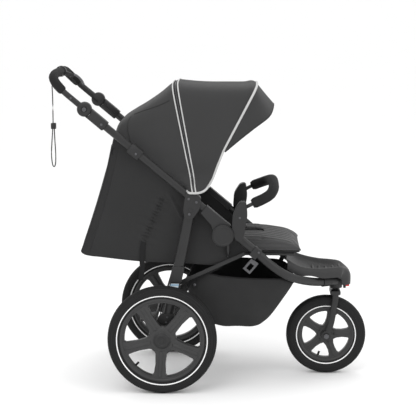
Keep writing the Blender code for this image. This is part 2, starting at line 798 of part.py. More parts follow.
def hand_brake():
    """The hand brake's clamp on the handle, its lever, and the cable down the left side."""
    x, y, z = LEVER_PIVOT
    clamp = disc("lever_bracket", 0.0205, 0.0220, (-0.397, y, 1.1540), 0.002, 24)
    clamp = as_mesh(clamp)
    arm = box("lever_bracket_arm", (0.040, 0.0160, 0.014), (-0.368, y, 1.1440), radians(18), 0.002)
    joined(clamp, as_mesh(arm))
    cut(clamp, disc("lever_bracket_hole", 0.0172 + GAP, 0.05, (-0.397, y, 1.1540), sides=24))
    cut(clamp, box("lever_slot", (0.0200, 0.0100, 0.040), (x + 0.004, y, z), 0.0))
    STROLLER.add(clamp, "handle", black_plastic())
    STROLLER.pivot("brake_lever", x, z, y)
    blade = [
        (x, y, z), (x + 0.014, y, z - 0.004), (x + 0.034, y - 0.010, z - 0.022),
        (x + 0.046, y - 0.040, z - 0.038),
    ]
    lever = tube("brake_lever", smooth_path(blade, 3), 0.0040)
    STROLLER.add(lever, "brake_lever", steel())
    cable = [
        (-0.262, 0.2050, 1.0210),
        (along_tube(0.10, -0.002)[0], 0.2030, along_tube(0.10, -0.002)[1]),
        (along_tube(0.30)[0], 0.2030, along_tube(0.30)[1]),
        (along_tube(0.47, 0.010)[0], 0.2030, along_tube(0.47, 0.010)[1]),
    ]
    STROLLER.add(tube("brake_cable", smooth_path(cable, 4), 0.0030), "frame", tyre_rubber())


def wrist_strap():
    """The safety strap: a cord that hangs from the handle and ends in a loop, held by a slider."""
    x = -0.4180
    down = [
        (x, -0.050, 1.1480), (x - 0.0020, -0.050, 1.1200), (x, -0.050, 1.0600), (x, -0.050, 0.9900),
        (x - 0.0005, -0.050, 0.9600),
    ]
    loop = [
        (x - 0.0030, -0.050, 0.9300), (x - 0.0060, -0.051, 0.8900), (x - 0.0080, -0.052, 0.8500),
        (x - 0.0050, -0.053, 0.8140),
        (x + 0.0010, -0.054, 0.8030), (x + 0.0070, -0.055, 0.8140), (x + 0.0085, -0.056, 0.8500),
        (x + 0.0070, -0.057, 0.8900), (x + 0.0055, -0.057, 0.9300), (x + 0.0050, -0.057, 0.9550),
    ]
    strap = tube("wrist_strap", smooth_path(down + loop, 3), 0.0020)
    STROLLER.add(strap, "handle", webbing())
    slider = box("strap_slider", (0.0180, 0.0200, 0.0220), (x + 0.0020, -0.0535, 0.9560), 0.0, 0.002)
    slider = as_mesh(slider)
    cut(slider, as_mesh(tube("slider_hole", smooth_path(down + loop, 3), 0.0020 + GAP)))
    cut(slider, box("slider_end_hole", (0.0060, 0.0060, 0.030), (x + 0.0052, -0.0570, 0.9620)))
    STROLLER.add(slider, "handle", black_plastic())


# ---------------------------------------------------------------- seat

def seat_sides():
    top = [along_tube(d, -0.004) for d in (0.150, 0.300, 0.450, 0.600)]
    outline = [
        *top, (0.300, 0.545), (0.309, 0.509), (0.275, 0.493), (0.230, 0.472), (0.173, 0.461), (0.090, 0.467),
        (-0.104, 0.474), (-0.229, 0.489), (-0.300, 0.506),
    ]
    for side, sign in sides():
        panel = as_mesh(plate("seat_side_" + side, outline, 0.0050, sign * SEAT_SIDE_Y))
        hole_place = (0.238, sign * SEAT_SIDE_Y, SEAT_BOARD_Z + 0.0030)
        hole = box(f"seat_side_hole_{side}", (0.016, 0.020, 0.022), hole_place)
        STROLLER.add(cut(panel, hole), "frame", cloth())


def seat_rear_panel():
    low, high = Vector((-0.308, 0.506)), Vector((-0.188, 0.851))
    rows = [
        [(low.x + (high.x - low.x) * t, y, low.y + (high.y - low.y) * t) for t in (0.0, 0.5, 1.0)]
        for y in (-0.1875, -0.095, 0.0, 0.095, 0.1875)
    ]
    STROLLER.add(sheet("seat_rear_panel", rows, 0.0060), "frame", cloth())


def backrest():
    """The reclining back: a board with its pad."""
    STROLLER.pivot("backrest", *RECLINE_PIVOT)
    x, z = RECLINE_PIVOT
    lean = radians(-2.5)
    length = 0.470
    board = box("backrest_board", (length, 0.340, 0.008), (x - length / 2, 0.0, z + 0.010), -lean, 0.002)
    STROLLER.add(board, "backrest", black_plastic())
    middle = (x - length / 2, 0.0, z + 0.0255)
    pad = box("backrest_pad", (length - 0.030, 0.336, 0.020), middle, -lean, 0.006)
    STROLLER.add(pad, "backrest", cloth())


def seat():
    cushion = box("seat_cushion", (0.272, 0.336, 0.052), (0.381, 0.0, SEAT_BOARD_Z + 0.0340), 0.0, 0.014)
    STROLLER.add(cushion, "frame", cloth())


def basket():
    """The storage basket: a tub with an open top."""
    outline = [
        (0.085, 0.372), (0.138, 0.428), (0.274, 0.412), (0.436, 0.404), (0.486, 0.380), (0.440, 0.318),
        (0.396, 0.262), (0.360, 0.2270), (0.205, 0.2200), (0.110, 0.262),
    ]
    inside = [
        (0.094, 0.372), (0.140, 0.470), (0.440, 0.470), (0.475, 0.380), (0.434, 0.322), (0.391, 0.268),
        (0.357, 0.2335), (0.208, 0.2265), (0.116, 0.268),
    ]
    tub = as_mesh(plate("basket", outline, 0.388, 0.0))
    cut(tub, as_mesh(plate("basket_inside", inside, 0.376, 0.0)))
    STROLLER.add(tub, "frame", cloth())


# ---------------------------------------------------------------- canopy

def hoop(pivot, top, half_width, corner, shoulder):
    """A bow from the pivot up one side, over the top and down the other, as points.

    corner is how far the bow's rounded shoulder reaches in, and shoulder how far below the top it starts.
    """
    side = []
    for t in (0.0, 0.35, 0.65):
        side.append((pivot[0] + (top[0] - pivot[0]) * t, -half_width, pivot[1] + (top[1] - pivot[1]) * t))
    reach = hypot(top[0] - pivot[0], top[1] - pivot[1])
    away = ((top[0] - pivot[0]) / reach, (top[1] - pivot[1]) / reach)
    for angle in (0, 22.5, 45, 67.5, 90):
        a = radians(angle)
        back = shoulder * (1 - sin(a))
        side.append((top[0] - away[0] * back, -half_width + corner * (1 - cos(a)), top[1] - away[1] * back))
    middle = (top[0] + away[0] * 0.004, 0.0, top[1] + away[1] * 0.004)
    return side + [middle] + [(x, -y, z) for x, y, z in side[::-1]]


REAR_BOW_TOP = (0.036, 1.118)
FRONT_BOW_TOP = (0.334, 1.108)
CANOPY_HALF = 0.186


def front_edge_hoop():
    """The canopy's front edge: it leaves the pivot forwards and then runs up to the front bow's top."""
    side = [
        (0.124, -CANOPY_HALF - 0.004, 0.733), (0.166, -CANOPY_HALF - 0.002, 0.756),
        (0.222, -CANOPY_HALF, 0.880),
    ]
    upper = hoop(VISOR_PIVOT, FRONT_BOW_TOP, CANOPY_HALF, 0.045, 0.050)
    return side + upper[3:-3] + [(x, -y, z) for x, y, z in side[::-1]]


def canopy():
    """The folding canopy: two bows, the fabric between them and behind them, and the visor."""
    STROLLER.pivot("canopy_rear", *CANOPY_PIVOT)
    STROLLER.pivot("canopy_front", *CANOPY_PIVOT)
    inset = 0.014
    rear_top = (REAR_BOW_TOP[0], REAR_BOW_TOP[1] - inset)
    rear_bow = hoop(CANOPY_PIVOT, rear_top, CANOPY_HALF - inset, 0.045, 0.050)
    STROLLER.add(tube("canopy_rear_bow", rear_bow, 0.0040), "canopy_rear", black_frame())
    front_bow = hoop(
        (CANOPY_PIVOT[0] + 0.012, CANOPY_PIVOT[1] + 0.010),
        (FRONT_BOW_TOP[0] - 0.006, FRONT_BOW_TOP[1] - inset),
        CANOPY_HALF - inset - 0.011, 0.045, 0.050,
    )
    STROLLER.add(tube("canopy_front_bow", front_bow, 0.0040), "canopy_front", black_frame())

    rear_edge = hoop((-0.060, 0.846), (-0.170, 0.962), CANOPY_HALF, 0.045, 0.030)
    low_edge = hoop((-0.060, 0.846), (-0.176, 0.868), CANOPY_HALF, 0.045, 0.010)
    rear_top = hoop(CANOPY_PIVOT, REAR_BOW_TOP, CANOPY_HALF, 0.045, 0.050)
    between = [
        hoop((-0.000, 0.792), (-0.108, 1.018), CANOPY_HALF, 0.045, 0.040),
        hoop((0.070, 0.760), (-0.026, 1.072), CANOPY_HALF, 0.045, 0.045),
    ]
    rear_rows = [low_edge, rear_edge, *between, rear_top]
    STROLLER.add(sheet("canopy_rear_fabric", rear_rows, 0.0030), "frame", cloth())

    edge = front_edge_hoop()
    foot = (CANOPY_PIVOT[0] + 0.004, CANOPY_PIVOT[1])
    first = hoop(foot, (REAR_BOW_TOP[0] + 0.006, REAR_BOW_TOP[1]), CANOPY_HALF, 0.045, 0.050)
    rows = []
    for t in (0.0, 0.33, 0.67, 1.0):
        rows.append([tuple(Vector(a).lerp(Vector(b), t)) for a, b in zip(first, edge)])
    STROLLER.add(sheet("canopy_middle_fabric", rows, 0.0030), "canopy_rear", cloth())

    front_top = (FRONT_BOW_TOP[0] + 0.006, FRONT_BOW_TOP[1] - 0.006)
    start = hoop((0.2290, 0.8930), front_top, CANOPY_HALF, 0.045, 0.050)
    brim = hoop((0.2380, 0.8760), (0.403, 1.034), CANOPY_HALF - 0.006, 0.060, 0.060)
    rows = []
    for t in (0.0, 0.33, 0.67, 1.0):
        bulge = 0.012 * sin(pi * t)
        push = Vector((bulge, 0.0, bulge))
        rows.append([tuple(Vector(a).lerp(Vector(b), t) + push) for a, b in zip(start, brim)])
    STROLLER.add(sheet("canopy_visor", rows, 0.0030), "canopy_front", cloth())


def swivel_lock():
    """The knob under the tray's nose that locks the front wheel straight."""
    STROLLER.pivot("swivel_lock", 0.6785, 0.345)
    knob = box("swivel_lock", (0.0100, 0.0200, 0.0210), (0.6810, 0.0, 0.3440), 0.0, 0.002)
    STROLLER.add(knob, "swivel_lock", black_plastic())


def build():
    rear_wheels()
    front_wheel()
    fork()
    upper_tubes()
    handle_hinges()
    canopy_clips()
    leg_joints()
    fold_hubs()
    seat_frame()
    front_frame()
    rear_legs()
    fold_links()
    brake_pedal()
    footrest_tray()
    bumper()
    latch()
    handle()
    hand_brake()
    wrist_strap()
    seat_sides()
    seat_rear_panel()
    backrest()
    seat()
    basket()
    canopy()
    swivel_lock()
    STROLLER.base.location.x = REAR_AXLE_X


clear_scene()
STROLLER = Stroller()
build()
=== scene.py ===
"""Jogging stroller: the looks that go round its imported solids."""

from math import atan2, cos, degrees, hypot, pi, radians, sin

import bmesh
import bpy
from bpy.props import FloatProperty, FloatVectorProperty, IntProperty, PointerProperty
from mathutils import Matrix, Vector, noise


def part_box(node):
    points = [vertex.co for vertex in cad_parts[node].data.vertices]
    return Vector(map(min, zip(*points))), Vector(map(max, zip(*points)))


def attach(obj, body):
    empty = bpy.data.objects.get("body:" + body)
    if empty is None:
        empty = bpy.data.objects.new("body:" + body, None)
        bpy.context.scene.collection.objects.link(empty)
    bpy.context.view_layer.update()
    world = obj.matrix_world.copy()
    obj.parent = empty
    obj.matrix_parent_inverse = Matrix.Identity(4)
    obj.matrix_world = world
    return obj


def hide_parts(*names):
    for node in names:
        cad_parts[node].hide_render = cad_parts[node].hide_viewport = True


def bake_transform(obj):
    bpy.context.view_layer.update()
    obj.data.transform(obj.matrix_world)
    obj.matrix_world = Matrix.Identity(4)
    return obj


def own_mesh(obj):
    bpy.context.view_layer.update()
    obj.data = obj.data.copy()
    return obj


bl_info = {
    "name": "Jogging Stroller Finisher",
    "version": (1, 0, 0),
    "blender": (4, 5, 0),
    "location": "3D View > Sidebar > Stroller",
    "description": "Builds the cloth, foam, wheels and mouldings of a three-wheel stroller",
    "category": "Object",
}

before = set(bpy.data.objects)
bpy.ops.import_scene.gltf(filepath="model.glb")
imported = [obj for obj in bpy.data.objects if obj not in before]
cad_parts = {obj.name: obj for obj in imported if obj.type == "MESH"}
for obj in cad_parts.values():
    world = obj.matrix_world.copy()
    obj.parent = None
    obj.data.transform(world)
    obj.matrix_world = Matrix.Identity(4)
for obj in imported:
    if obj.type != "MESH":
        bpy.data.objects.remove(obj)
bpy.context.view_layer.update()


def middle(node):
    low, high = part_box(node)
    return (Vector(low) + Vector(high)) / 2


AXLE = middle("rear_tyre_right").x
REAR_HUB = middle("rear_tyre_right")
FRONT_HUB = middle("front_tyre")
REAR_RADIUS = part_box("rear_tyre_right")[1][2] - REAR_HUB.z
FRONT_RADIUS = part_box("front_tyre")[1][2] - FRONT_HUB.z
SIDE_Y = abs(middle("upper_tube_right").y)
SEAT_SIDE_Y = abs(middle("seat_side_right").y)
KNOB = Vector((AXLE - 0.278, 0.0, 1.034))
SLOPE = radians(40.0)
SIDES = (("right", -1), ("left", 1))


def at(x, y, z):
    """A point given from the floor under the rear axle, in the frame that the solids use."""
    return Vector((x + AXLE, y, z))


def down_tube(distance, below=0.0, y=0.0):
    """A point that far down the upper tube from the handle's pivot, and that far under its middle line."""
    return Vector((
        KNOB.x + distance * cos(SLOPE) - below * sin(SLOPE),
        y,
        KNOB.z - distance * sin(SLOPE) - below * cos(SLOPE),
    ))


def smooth_path(points, per_span=6):
    """A Catmull-Rom curve through the points."""
    points = [Vector(p) for p in points]
    ends = [points[0], *points, points[-1]]
    path = []
    for p0, p1, p2, p3 in zip(ends, ends[1:], ends[2:], ends[3:]):
        for step in range(per_span):
            t = step / per_span
            path.append(
                0.5 * (2 * p1 + (p2 - p0) * t + (2 * p0 - 5 * p1 + 4 * p2 - p3) * t**2
                       + (3 * p1 - p0 - 3 * p2 + p3) * t**3)
            )
    return path + [points[-1]]


def ease(t):
    t = min(1.0, max(0.0, t))
    return t * t * (3 - 2 * t)


# ---------------------------------------------------------------- materials

class Wire:
    """A shader socket that can be used in an expression."""

    def __init__(self, finish, socket):
        self.finish = finish
        self.socket = socket

    def _math(self, operation, first, second):
        return self.finish.node("ShaderNodeMath", {"operation": operation}, {0: first, 1: second})

    def __add__(self, other):
        return self._math("ADD", self, other)

    __radd__ = __add__

    def __sub__(self, other):
        return self._math("SUBTRACT", self, other)

    def __rsub__(self, other):
        return self._math("SUBTRACT", other, self)

    def __mul__(self, other):
        return self._math("MULTIPLY", self, other)

    __rmul__ = __mul__

    def __truediv__(self, other):
        return self._math("DIVIDE", self, other)

    def __rtruediv__(self, other):
        return self._math("DIVIDE", other, self)

    def __pow__(self, other):
        return self._math("POWER", self, other)

    def __gt__(self, other):
        return self._math("GREATER_THAN", self, other)

    def sine(self):
        return self._math("SINE", self, 0.0)

    def size(self):
        return self._math("ABSOLUTE", self, 0.0)


class Finish:
    """A Principled material under construction."""

    def __init__(self, name, colour, roughness, metallic=0.0, **constants):
        self.material = bpy.data.materials.new(name)
        self.material.use_nodes = True
        self.material.diffuse_color = (*colour, 1.0)
        self.tree = self.material.node_tree
        self.shader = self.tree.nodes["Principled BSDF"]
        self.shader.inputs["Base Color"].default_value = (*colour, 1.0)
        self.shader.inputs["Roughness"].default_value = roughness
        self.shader.inputs["Metallic"].default_value = metallic
        for socket, value in constants.items():
            self.shader.inputs[socket.replace("_", " ")].default_value = value
        self.colour = colour
        self.coordinates = self.tree.nodes.new("ShaderNodeTexCoord")

    def node(self, kind, settings=None, values=None, output=0):
        """Adds any node: its settings first, then the values or links of its sockets."""
        made = self.tree.nodes.new(kind)
        for key, value in (settings or {}).items():
            setattr(made, key, value)
        for key, value in (values or {}).items():
            if isinstance(value, Wire):
                self.tree.links.new(value.socket, made.inputs[key])
            else:
                made.inputs[key].default_value = value
        return Wire(self, made.outputs[output])

    def place(self):
        return Wire(self, self.coordinates.outputs["Object"])

    def cloth_place(self):
        return Wire(self, self.coordinates.outputs["UV"])

    def axis(self, place, name):
        return self.node("ShaderNodeSeparateXYZ", None, {0: place}, "XYZ".index(name))

    def grain(self, scale, detail=3.0, place=None):
        values = {"Vector": place or self.place(), "Scale": scale, "Detail": detail}
        return self.node("ShaderNodeTexNoise", None, values)

    def cells(self, scale, place=None):
        return self.node("ShaderNodeTexVoronoi", None, {"Vector": place or self.place(), "Scale": scale})

    def weave(self, pitch, place):
        """Crossing threads of that pitch, from 0 to 1."""
        along = (self.axis(place, "X") * (2 * pi / pitch)).sine()
        across = (self.axis(place, "Y") * (2 * pi / pitch)).sine()
        return along * across * 0.5 + 0.5

    def tint(self, amount, light):
        """Varies the colour from a little darker to a little lighter than its own."""
        dark = tuple(c * (1 - light) for c in self.colour)
        pale = tuple(min(1.0, c * (1 + light) + 0.002) for c in self.colour)
        made = self.node("ShaderNodeMix", {"data_type": "RGBA"}, {0: amount, 6: (*dark, 1.0), 7: (*pale, 1.0)}, 2)
        self.tree.links.new(made.socket, self.shader.inputs["Base Color"])
        return self

    def rough(self, amount):
        self.tree.links.new(amount.socket, self.shader.inputs["Roughness"])
        return self

    def bump(self, height, distance, strength=0.6):
        values = {"Height": height, "Distance": distance, "Strength": strength}
        made = self.node("ShaderNodeBump", None, values)
        self.tree.links.new(made.socket, self.shader.inputs["Normal"])
        return self


def once(maker):
    """Each finish is made once and then shared."""
    kept = {}

    def shared(*key):
        if key not in kept:
            kept[key] = maker(*key)
        return kept[key]

    return shared


def looks():
    return bpy.context.scene.stroller_finish


@once
def powder_black():
    made = Finish("frame_powder_black", looks().frame_colour, 0.38, 0.0, Specular_IOR_Level=0.42)
    wear = made.grain(14.0)
    made = made.tint(wear, 0.25).rough(wear * 0.16 + 0.30)
    return made.bump(made.grain(1400.0, 2.0), 0.0002, 0.25).material


@once
def moulded_black():
    made = Finish("moulding_black", looks().plastic_colour, 0.5, 0.0, Specular_IOR_Level=0.34)
    soft = made.grain(9.0)
    return made.tint(soft, 0.15).rough(soft * 0.14 + 0.42).bump(made.cells(1100.0), 0.0002, 0.35).material


@once
def tray_plastic():
    made = Finish("tray_plastic", looks().tray_colour, 0.55, 0.0, Specular_IOR_Level=0.3)
    made = made.tint(made.grain(6.0), 0.14).rough(made.grain(30.0) * 0.14 + 0.44)
    return made.bump(made.cells(700.0), 0.0003, 0.4).material


@once
def wheel_plastic():
    made = Finish("wheel_plastic", looks().rim_colour, 0.45, 0.0, Specular_IOR_Level=0.36)
    made = made.tint(made.grain(12.0), 0.14).rough(made.grain(40.0) * 0.16 + 0.36)
    return made.bump(made.cells(900.0), 0.0002, 0.3).material


@once
def tyre_rubber():
    made = Finish("tyre_rubber", looks().tyre_colour, 0.8, 0.0, Specular_IOR_Level=0.22)
    dust = made.grain(22.0, 6.0)
    return made.tint(dust, 0.35).rough(dust * 0.2 + 0.66).bump(made.grain(500.0, 2.0), 0.0004, 0.35).material


@once
def reflective_band():
    made = Finish("reflective_band", looks().band_colour, 0.4)
    return made.tint(made.grain(60.0), 0.06).bump(made.cells(1600.0), 0.0002, 0.3).material


@once
def closed_foam():
    made = Finish("closed_cell_foam", looks().foam_colour, 0.88, 0.0, Specular_IOR_Level=0.2)
    pores = made.cells(620.0)
    made = made.tint(made.grain(18.0), 0.3).rough(made.grain(90.0) * 0.14 + 0.78)
    return made.bump(pores, 0.0007, 0.55).material


@once
def canopy_cloth():
    made = Finish("canopy_cloth", looks().cloth_colour, 0.86, 0.0, Specular_IOR_Level=0.2, Sheen_Weight=0.06)
    threads = made.weave(0.0011, made.cloth_place())
    patchy = made.grain(5.0, 4.0)
    made = made.tint(threads * 0.45 + patchy * 0.55, 0.16).rough(patchy * 0.1 + 0.8)
    return made.bump(threads, 0.0003, 0.4).material


@once
def seat_cloth():
    made = Finish("seat_cloth", looks().seat_colour, 0.9, 0.0, Specular_IOR_Level=0.18, Sheen_Weight=0.05)
    threads = made.weave(0.0014, made.cloth_place())
    patchy = made.grain(7.0, 5.0)
    made = made.tint(threads * 0.4 + patchy * 0.6, 0.2).rough(patchy * 0.1 + 0.83)
    return made.bump(threads, 0.0003, 0.4).material


@once
def pad_cloth():
    made = Finish("pad_cloth", looks().pad_colour, 0.84, 0.0, Specular_IOR_Level=0.3, Sheen_Weight=0.12)
    threads = made.weave(0.0016, made.place())
    patchy = made.grain(12.0, 5.0)
    made = made.tint(threads * 0.3 + patchy * 0.7, 0.22).rough(patchy * 0.1 + 0.8)
    return made.bump(threads, 0.0003, 0.4).material


@once
def basket_cloth():
    made = Finish("basket_cloth", looks().seat_colour, 0.92, 0.0, Specular_IOR_Level=0.15, Sheen_Weight=0.04)
    threads = made.weave(0.0018, made.cloth_place())
    made = made.tint(made.grain(8.0, 5.0), 0.25).rough(made.grain(20.0) * 0.08 + 0.86)
    return made.bump(threads, 0.0004, 0.45).material


@once
def webbing():
    made = Finish("black_webbing", (0.010, 0.010, 0.0105), 0.82, 0.0, Specular_IOR_Level=0.2)
    rows = (made.axis(made.place(), "Z") * (2 * pi / 0.0016)).sine() * 0.5 + 0.5
    return made.tint(made.grain(90.0), 0.3).rough(rows * 0.08 + 0.76).bump(rows, 0.0003, 0.5).material


@once
def silver_piping():
    made = Finish("silver_piping", looks().piping_colour, 0.42, 0.15)
    made = made.tint(made.grain(40.0), 0.08).rough(made.grain(120.0) * 0.14 + 0.34)
    return made.bump(made.cells(900.0), 0.0003, 0.4).material


@once
def plated_steel():
    made = Finish("plated_steel", (0.42, 0.42, 0.44), 0.3, 1.0)
    return made.tint(made.grain(40.0), 0.2).rough(made.grain(120.0) * 0.2 + 0.22).material


@once
def dark_steel():
    made = Finish("dark_steel", (0.10, 0.10, 0.105), 0.35, 0.85)
    return made.tint(made.grain(60.0), 0.25).rough(made.grain(150.0) * 0.2 + 0.28).material


@once
def signal_red():
    made = Finish("signal_red", (0.62, 0.02, 0.02), 0.42)
    return made.tint(made.grain(40.0), 0.12).bump(made.cells(900.0), 0.0002, 0.3).material


@once
def pale_floor():
    made = Finish("pale_floor", tuple(bpy.context.scene.stroller_stage.floor_colour), 0.9)
    return made.tint(made.grain(0.6), 0.008).material


# ---------------------------------------------------------------- shaping

def only(obj):
    bpy.ops.object.select_all(action="DESELECT")
    obj.select_set(True)
    bpy.context.view_layer.objects.active = obj


def apply_all(obj):
    """Applies every modifier, and puts the object's place into its mesh."""
    only(obj)
    for modifier in list(obj.modifiers):
        bpy.ops.object.modifier_apply(modifier=modifier.name)
    bpy.ops.object.transform_apply(location=True, rotation=True, scale=True)


def tidy_normals(obj, merge=0.00002):
    only(obj)
    bpy.ops.object.mode_set(mode="EDIT")
    bpy.ops.mesh.select_all(action="SELECT")
    bpy.ops.mesh.remove_doubles(threshold=merge)
    bpy.ops.mesh.normals_make_consistent(inside=False)
    bpy.ops.object.mode_set(mode="OBJECT")


def settle(obj, body, finish, stands_for=(), angle=40.0):
    """Gives a finished piece its finish, its shading and the body that it rides on."""
    apply_all(obj)
    if not obj.data.materials:
        obj.data.materials.append(finish)
    only(obj)
    bpy.ops.object.shade_smooth_by_angle(angle=radians(angle))
    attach(obj, body)
    if stands_for:
        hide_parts(*stands_for)
    return obj


def curve(name, path, cyclic=False):
    """A poly curve through the path, as the active object."""
    data = bpy.data.curves.new(name, "CURVE")
    data.dimensions = "3D"
    data.twist_mode = "Z_UP"
    spline = data.splines.new("POLY")
    spline.points.add(len(path) - 1)
    for point, place in zip(spline.points, path):
        point.co = (*place, 1.0)
    spline.use_cyclic_u = cyclic
    data.use_fill_caps = not cyclic
    obj = bpy.data.objects.new(name, data)
    bpy.context.collection.objects.link(obj)
    only(obj)
    return obj


def tube(name, path, radius, resolution=5, cyclic=False):
    """A round tube along a path."""
    obj = curve(name, path, cyclic)
    obj.data.bevel_depth = radius
    obj.data.bevel_resolution = resolution
    bpy.ops.object.convert(target="MESH")
    tidy_normals(obj)
    return obj


def oval_tube(name, path, half_height, half_width):
    """A tube with an upright oval section."""
    bpy.ops.object.select_all(action="DESELECT")
    bpy.ops.curve.primitive_bezier_circle_add(radius=1.0)
    section = bpy.context.active_object
    section.scale = (half_width, half_height, 1.0)
    bpy.ops.object.transform_apply(location=False, rotation=False, scale=True)
    section.data.resolution_u = 7
    obj = curve(name, path)
    obj.data.bevel_mode = "OBJECT"
    obj.data.bevel_object = section
    bpy.ops.object.convert(target="MESH")
    bpy.data.objects.remove(section)
    tidy_normals(obj)
    return obj


def slab(name, outline, thickness, y, bevel=0.0, holes=()):
    """A flat piece with rounded edges, cut to an outline of x and z, with holes through it."""
    data = bpy.data.curves.new(name, "CURVE")
    data.dimensions = "2D"
    data.fill_mode = "BOTH"
    data.extrude = thickness / 2 - bevel
    data.bevel_depth = bevel
    data.bevel_resolution = 3
    data.offset = -bevel
    for loop in (outline, *holes):
        spline = data.splines.new("POLY")
        spline.points.add(len(loop) - 1)
        for point, (x, z) in zip(spline.points, loop):
            point.co = (x, z, 0.0, 1.0)
        spline.use_cyclic_u = True
    obj = bpy.data.objects.new(name, data)
    bpy.context.collection.objects.link(obj)
    obj.rotation_euler = (pi / 2, 0.0, 0.0)
    obj.location = (0.0, y, 0.0)
    only(obj)
    bpy.ops.object.convert(target="MESH")
    bpy.ops.object.transform_apply(location=True, rotation=True, scale=True)
    tidy_normals(obj)
    return obj


def rounded(outline, radius, steps=4):
    """The outline again, with each corner rounded."""
    made = []
    count = len(outline)
    for k, corner in enumerate(outline):
        corner = Vector(corner)
        before, after = Vector(outline[k - 1]), Vector(outline[(k + 1) % count])
        cut = min(radius, (before - corner).length * 0.45, (after - corner).length * 0.45)
        start = corner + (before - corner).normalized() * cut
        end = corner + (after - corner).normalized() * cut
        for step in range(steps + 1):
            t = step / steps
            made.append(tuple((1 - t) ** 2 * start + 2 * t * (1 - t) * corner + t * t * end))
    return made


def turned(name, profile, centre, steps=64, closed=True):
    """A profile of (radius, distance along Y) spun about the line through centre along Y."""
    mesh = bpy.data.meshes.new(name)
    count = len(profile)
    edges = [(k, (k + 1) % count) for k in range(count if closed else count - 1)]
    mesh.from_pydata([(centre[0] + r, centre[1] + y, centre[2]) for r, y in profile], edges, [])
    obj = bpy.data.objects.new(name, mesh)
    bpy.context.collection.objects.link(obj)
    only(obj)
    bpy.ops.object.mode_set(mode="EDIT")
    bpy.ops.mesh.select_all(action="SELECT")
    bpy.ops.mesh.spin(steps=steps, angle=2 * pi, center=centre, axis=(0.0, 1.0, 0.0), dupli=False)
    bpy.ops.mesh.select_all(action="SELECT")
    bpy.ops.mesh.remove_doubles(threshold=0.00002)
    bpy.ops.mesh.normals_make_consistent(inside=False)
    bpy.ops.object.mode_set(mode="OBJECT")
    return obj


def block(name, size, centre, turn=0.0, bevel=0.002, segments=3):
    """A box turned about Y, with its edges rounded."""
    bpy.ops.object.select_all(action="DESELECT")
    bpy.ops.mesh.primitive_cube_add(size=1.0, location=centre, rotation=(0.0, turn, 0.0))
    obj = bpy.context.active_object
    obj.name = name
    obj.scale = size
    bpy.ops.object.transform_apply(location=False, rotation=False, scale=True)
    bpy.ops.object.mode_set(mode="EDIT")
    bpy.ops.mesh.select_all(action="SELECT")
    bpy.ops.mesh.bevel(offset=bevel, segments=segments, affect="EDGES")
    bpy.ops.object.mode_set(mode="OBJECT")
    bpy.ops.object.transform_apply(location=True, rotation=True, scale=True)
    return obj


def softened(node, bevel=0.0015, name=None):
    """A copy of a solid with its loose triangles merged and its edges rounded."""
    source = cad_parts[node]
    obj = bpy.data.objects.new(name or node + "_shell", source.data.copy())
    obj.data.materials.clear()
    bpy.context.collection.objects.link(obj)
    only(obj)
    bpy.ops.object.mode_set(mode="EDIT")
    bpy.ops.mesh.select_all(action="SELECT")
    bpy.ops.mesh.remove_doubles(threshold=0.00002)
    bpy.ops.mesh.dissolve_limited(angle_limit=radians(2.0))
    bpy.ops.object.mode_set(mode="OBJECT")
    for attribute in list(obj.data.color_attributes):
        obj.data.color_attributes.remove(attribute)
    edge = obj.modifiers.new("rounded_edges", "BEVEL")
    edge.width = bevel
    edge.segments = 3
    edge.limit_method = "ANGLE"
    edge.angle_limit = radians(38.0)
    edge.harden_normals = False
    bpy.ops.object.modifier_apply(modifier=edge.name)
    return obj


def ring_of(rows, name, close_rows=False):
    """A sheet through rows of points, with a UV map that is measured in metres."""
    mesh = bpy.data.meshes.new(name)
    work = bmesh.new()
    layer = work.loops.layers.uv.new("cloth")
    grid = [[work.verts.new(point) for point in row] for row in rows]
    across = [0.0]
    centre = len(rows[0]) // 2
    for row, following in zip(rows, rows[1:]):
        across.append(across[-1] + (Vector(row[centre]) - Vector(following[centre])).length)
    lengths = []
    for row in rows:
        run = [0.0]
        for a, b in zip(row, row[1:]):
            run.append(run[-1] + (Vector(a) - Vector(b)).length)
        lengths.append([value - run[-1] / 2 for value in run])
    for r in range(len(rows) - 1):
        for k in range(len(rows[0]) - 1):
            corners = ((r, k), (r, k + 1), (r + 1, k + 1), (r + 1, k))
            face = work.faces.new([grid[i][j] for i, j in corners])
            for loop, (i, j) in zip(face.loops, corners):
                loop[layer].uv = (lengths[i][j], across[i])
    work.to_mesh(mesh)
    work.free()
    obj = bpy.data.objects.new(name, mesh)
    bpy.context.collection.objects.link(obj)
    return obj


def thicken(obj, thickness, offset=0.0):
    wall = obj.modifiers.new("wall", "SOLIDIFY")
    wall.thickness = thickness
    wall.offset = offset
    only(obj)
    bpy.ops.object.modifier_apply(modifier=wall.name)
    tidy_normals(obj, 0.000001)
    return obj


def blended_rows(ribs, per_span=5):
    """More rows between the ribs, on a smooth curve through matching points."""
    columns = [smooth_path([rib[k] for rib in ribs], per_span) for k in range(len(ribs[0]))]
    return [list(row) for row in zip(*columns)]


def joined(name, pieces):
    """Several meshes as one object. The first gives the finish."""
    bpy.ops.object.select_all(action="DESELECT")
    for piece in pieces:
        piece.select_set(True)
    bpy.context.view_layer.objects.active = pieces[0]
    bpy.ops.object.join()
    pieces[0].name = name
    return pieces[0]


def rivet(name, place, radius, side, body, height=0.0022):
    """A domed rivet with a dimple, whose axis is along Y."""
    out = side
    profile = [
        (0.0, 0.0), (radius, 0.0), (radius * 0.98, out * height * 0.45), (radius * 0.8, out * height * 0.85),
        (radius * 0.5, out * height), (radius * 0.32, out * height), (radius * 0.25, out * height * 0.45), (0.0, out * height * 0.4),
    ]
    return settle(turned(name, profile, place, 20, closed=False), body, dark_steel())


# ---------------------------------------------------------------- wheels

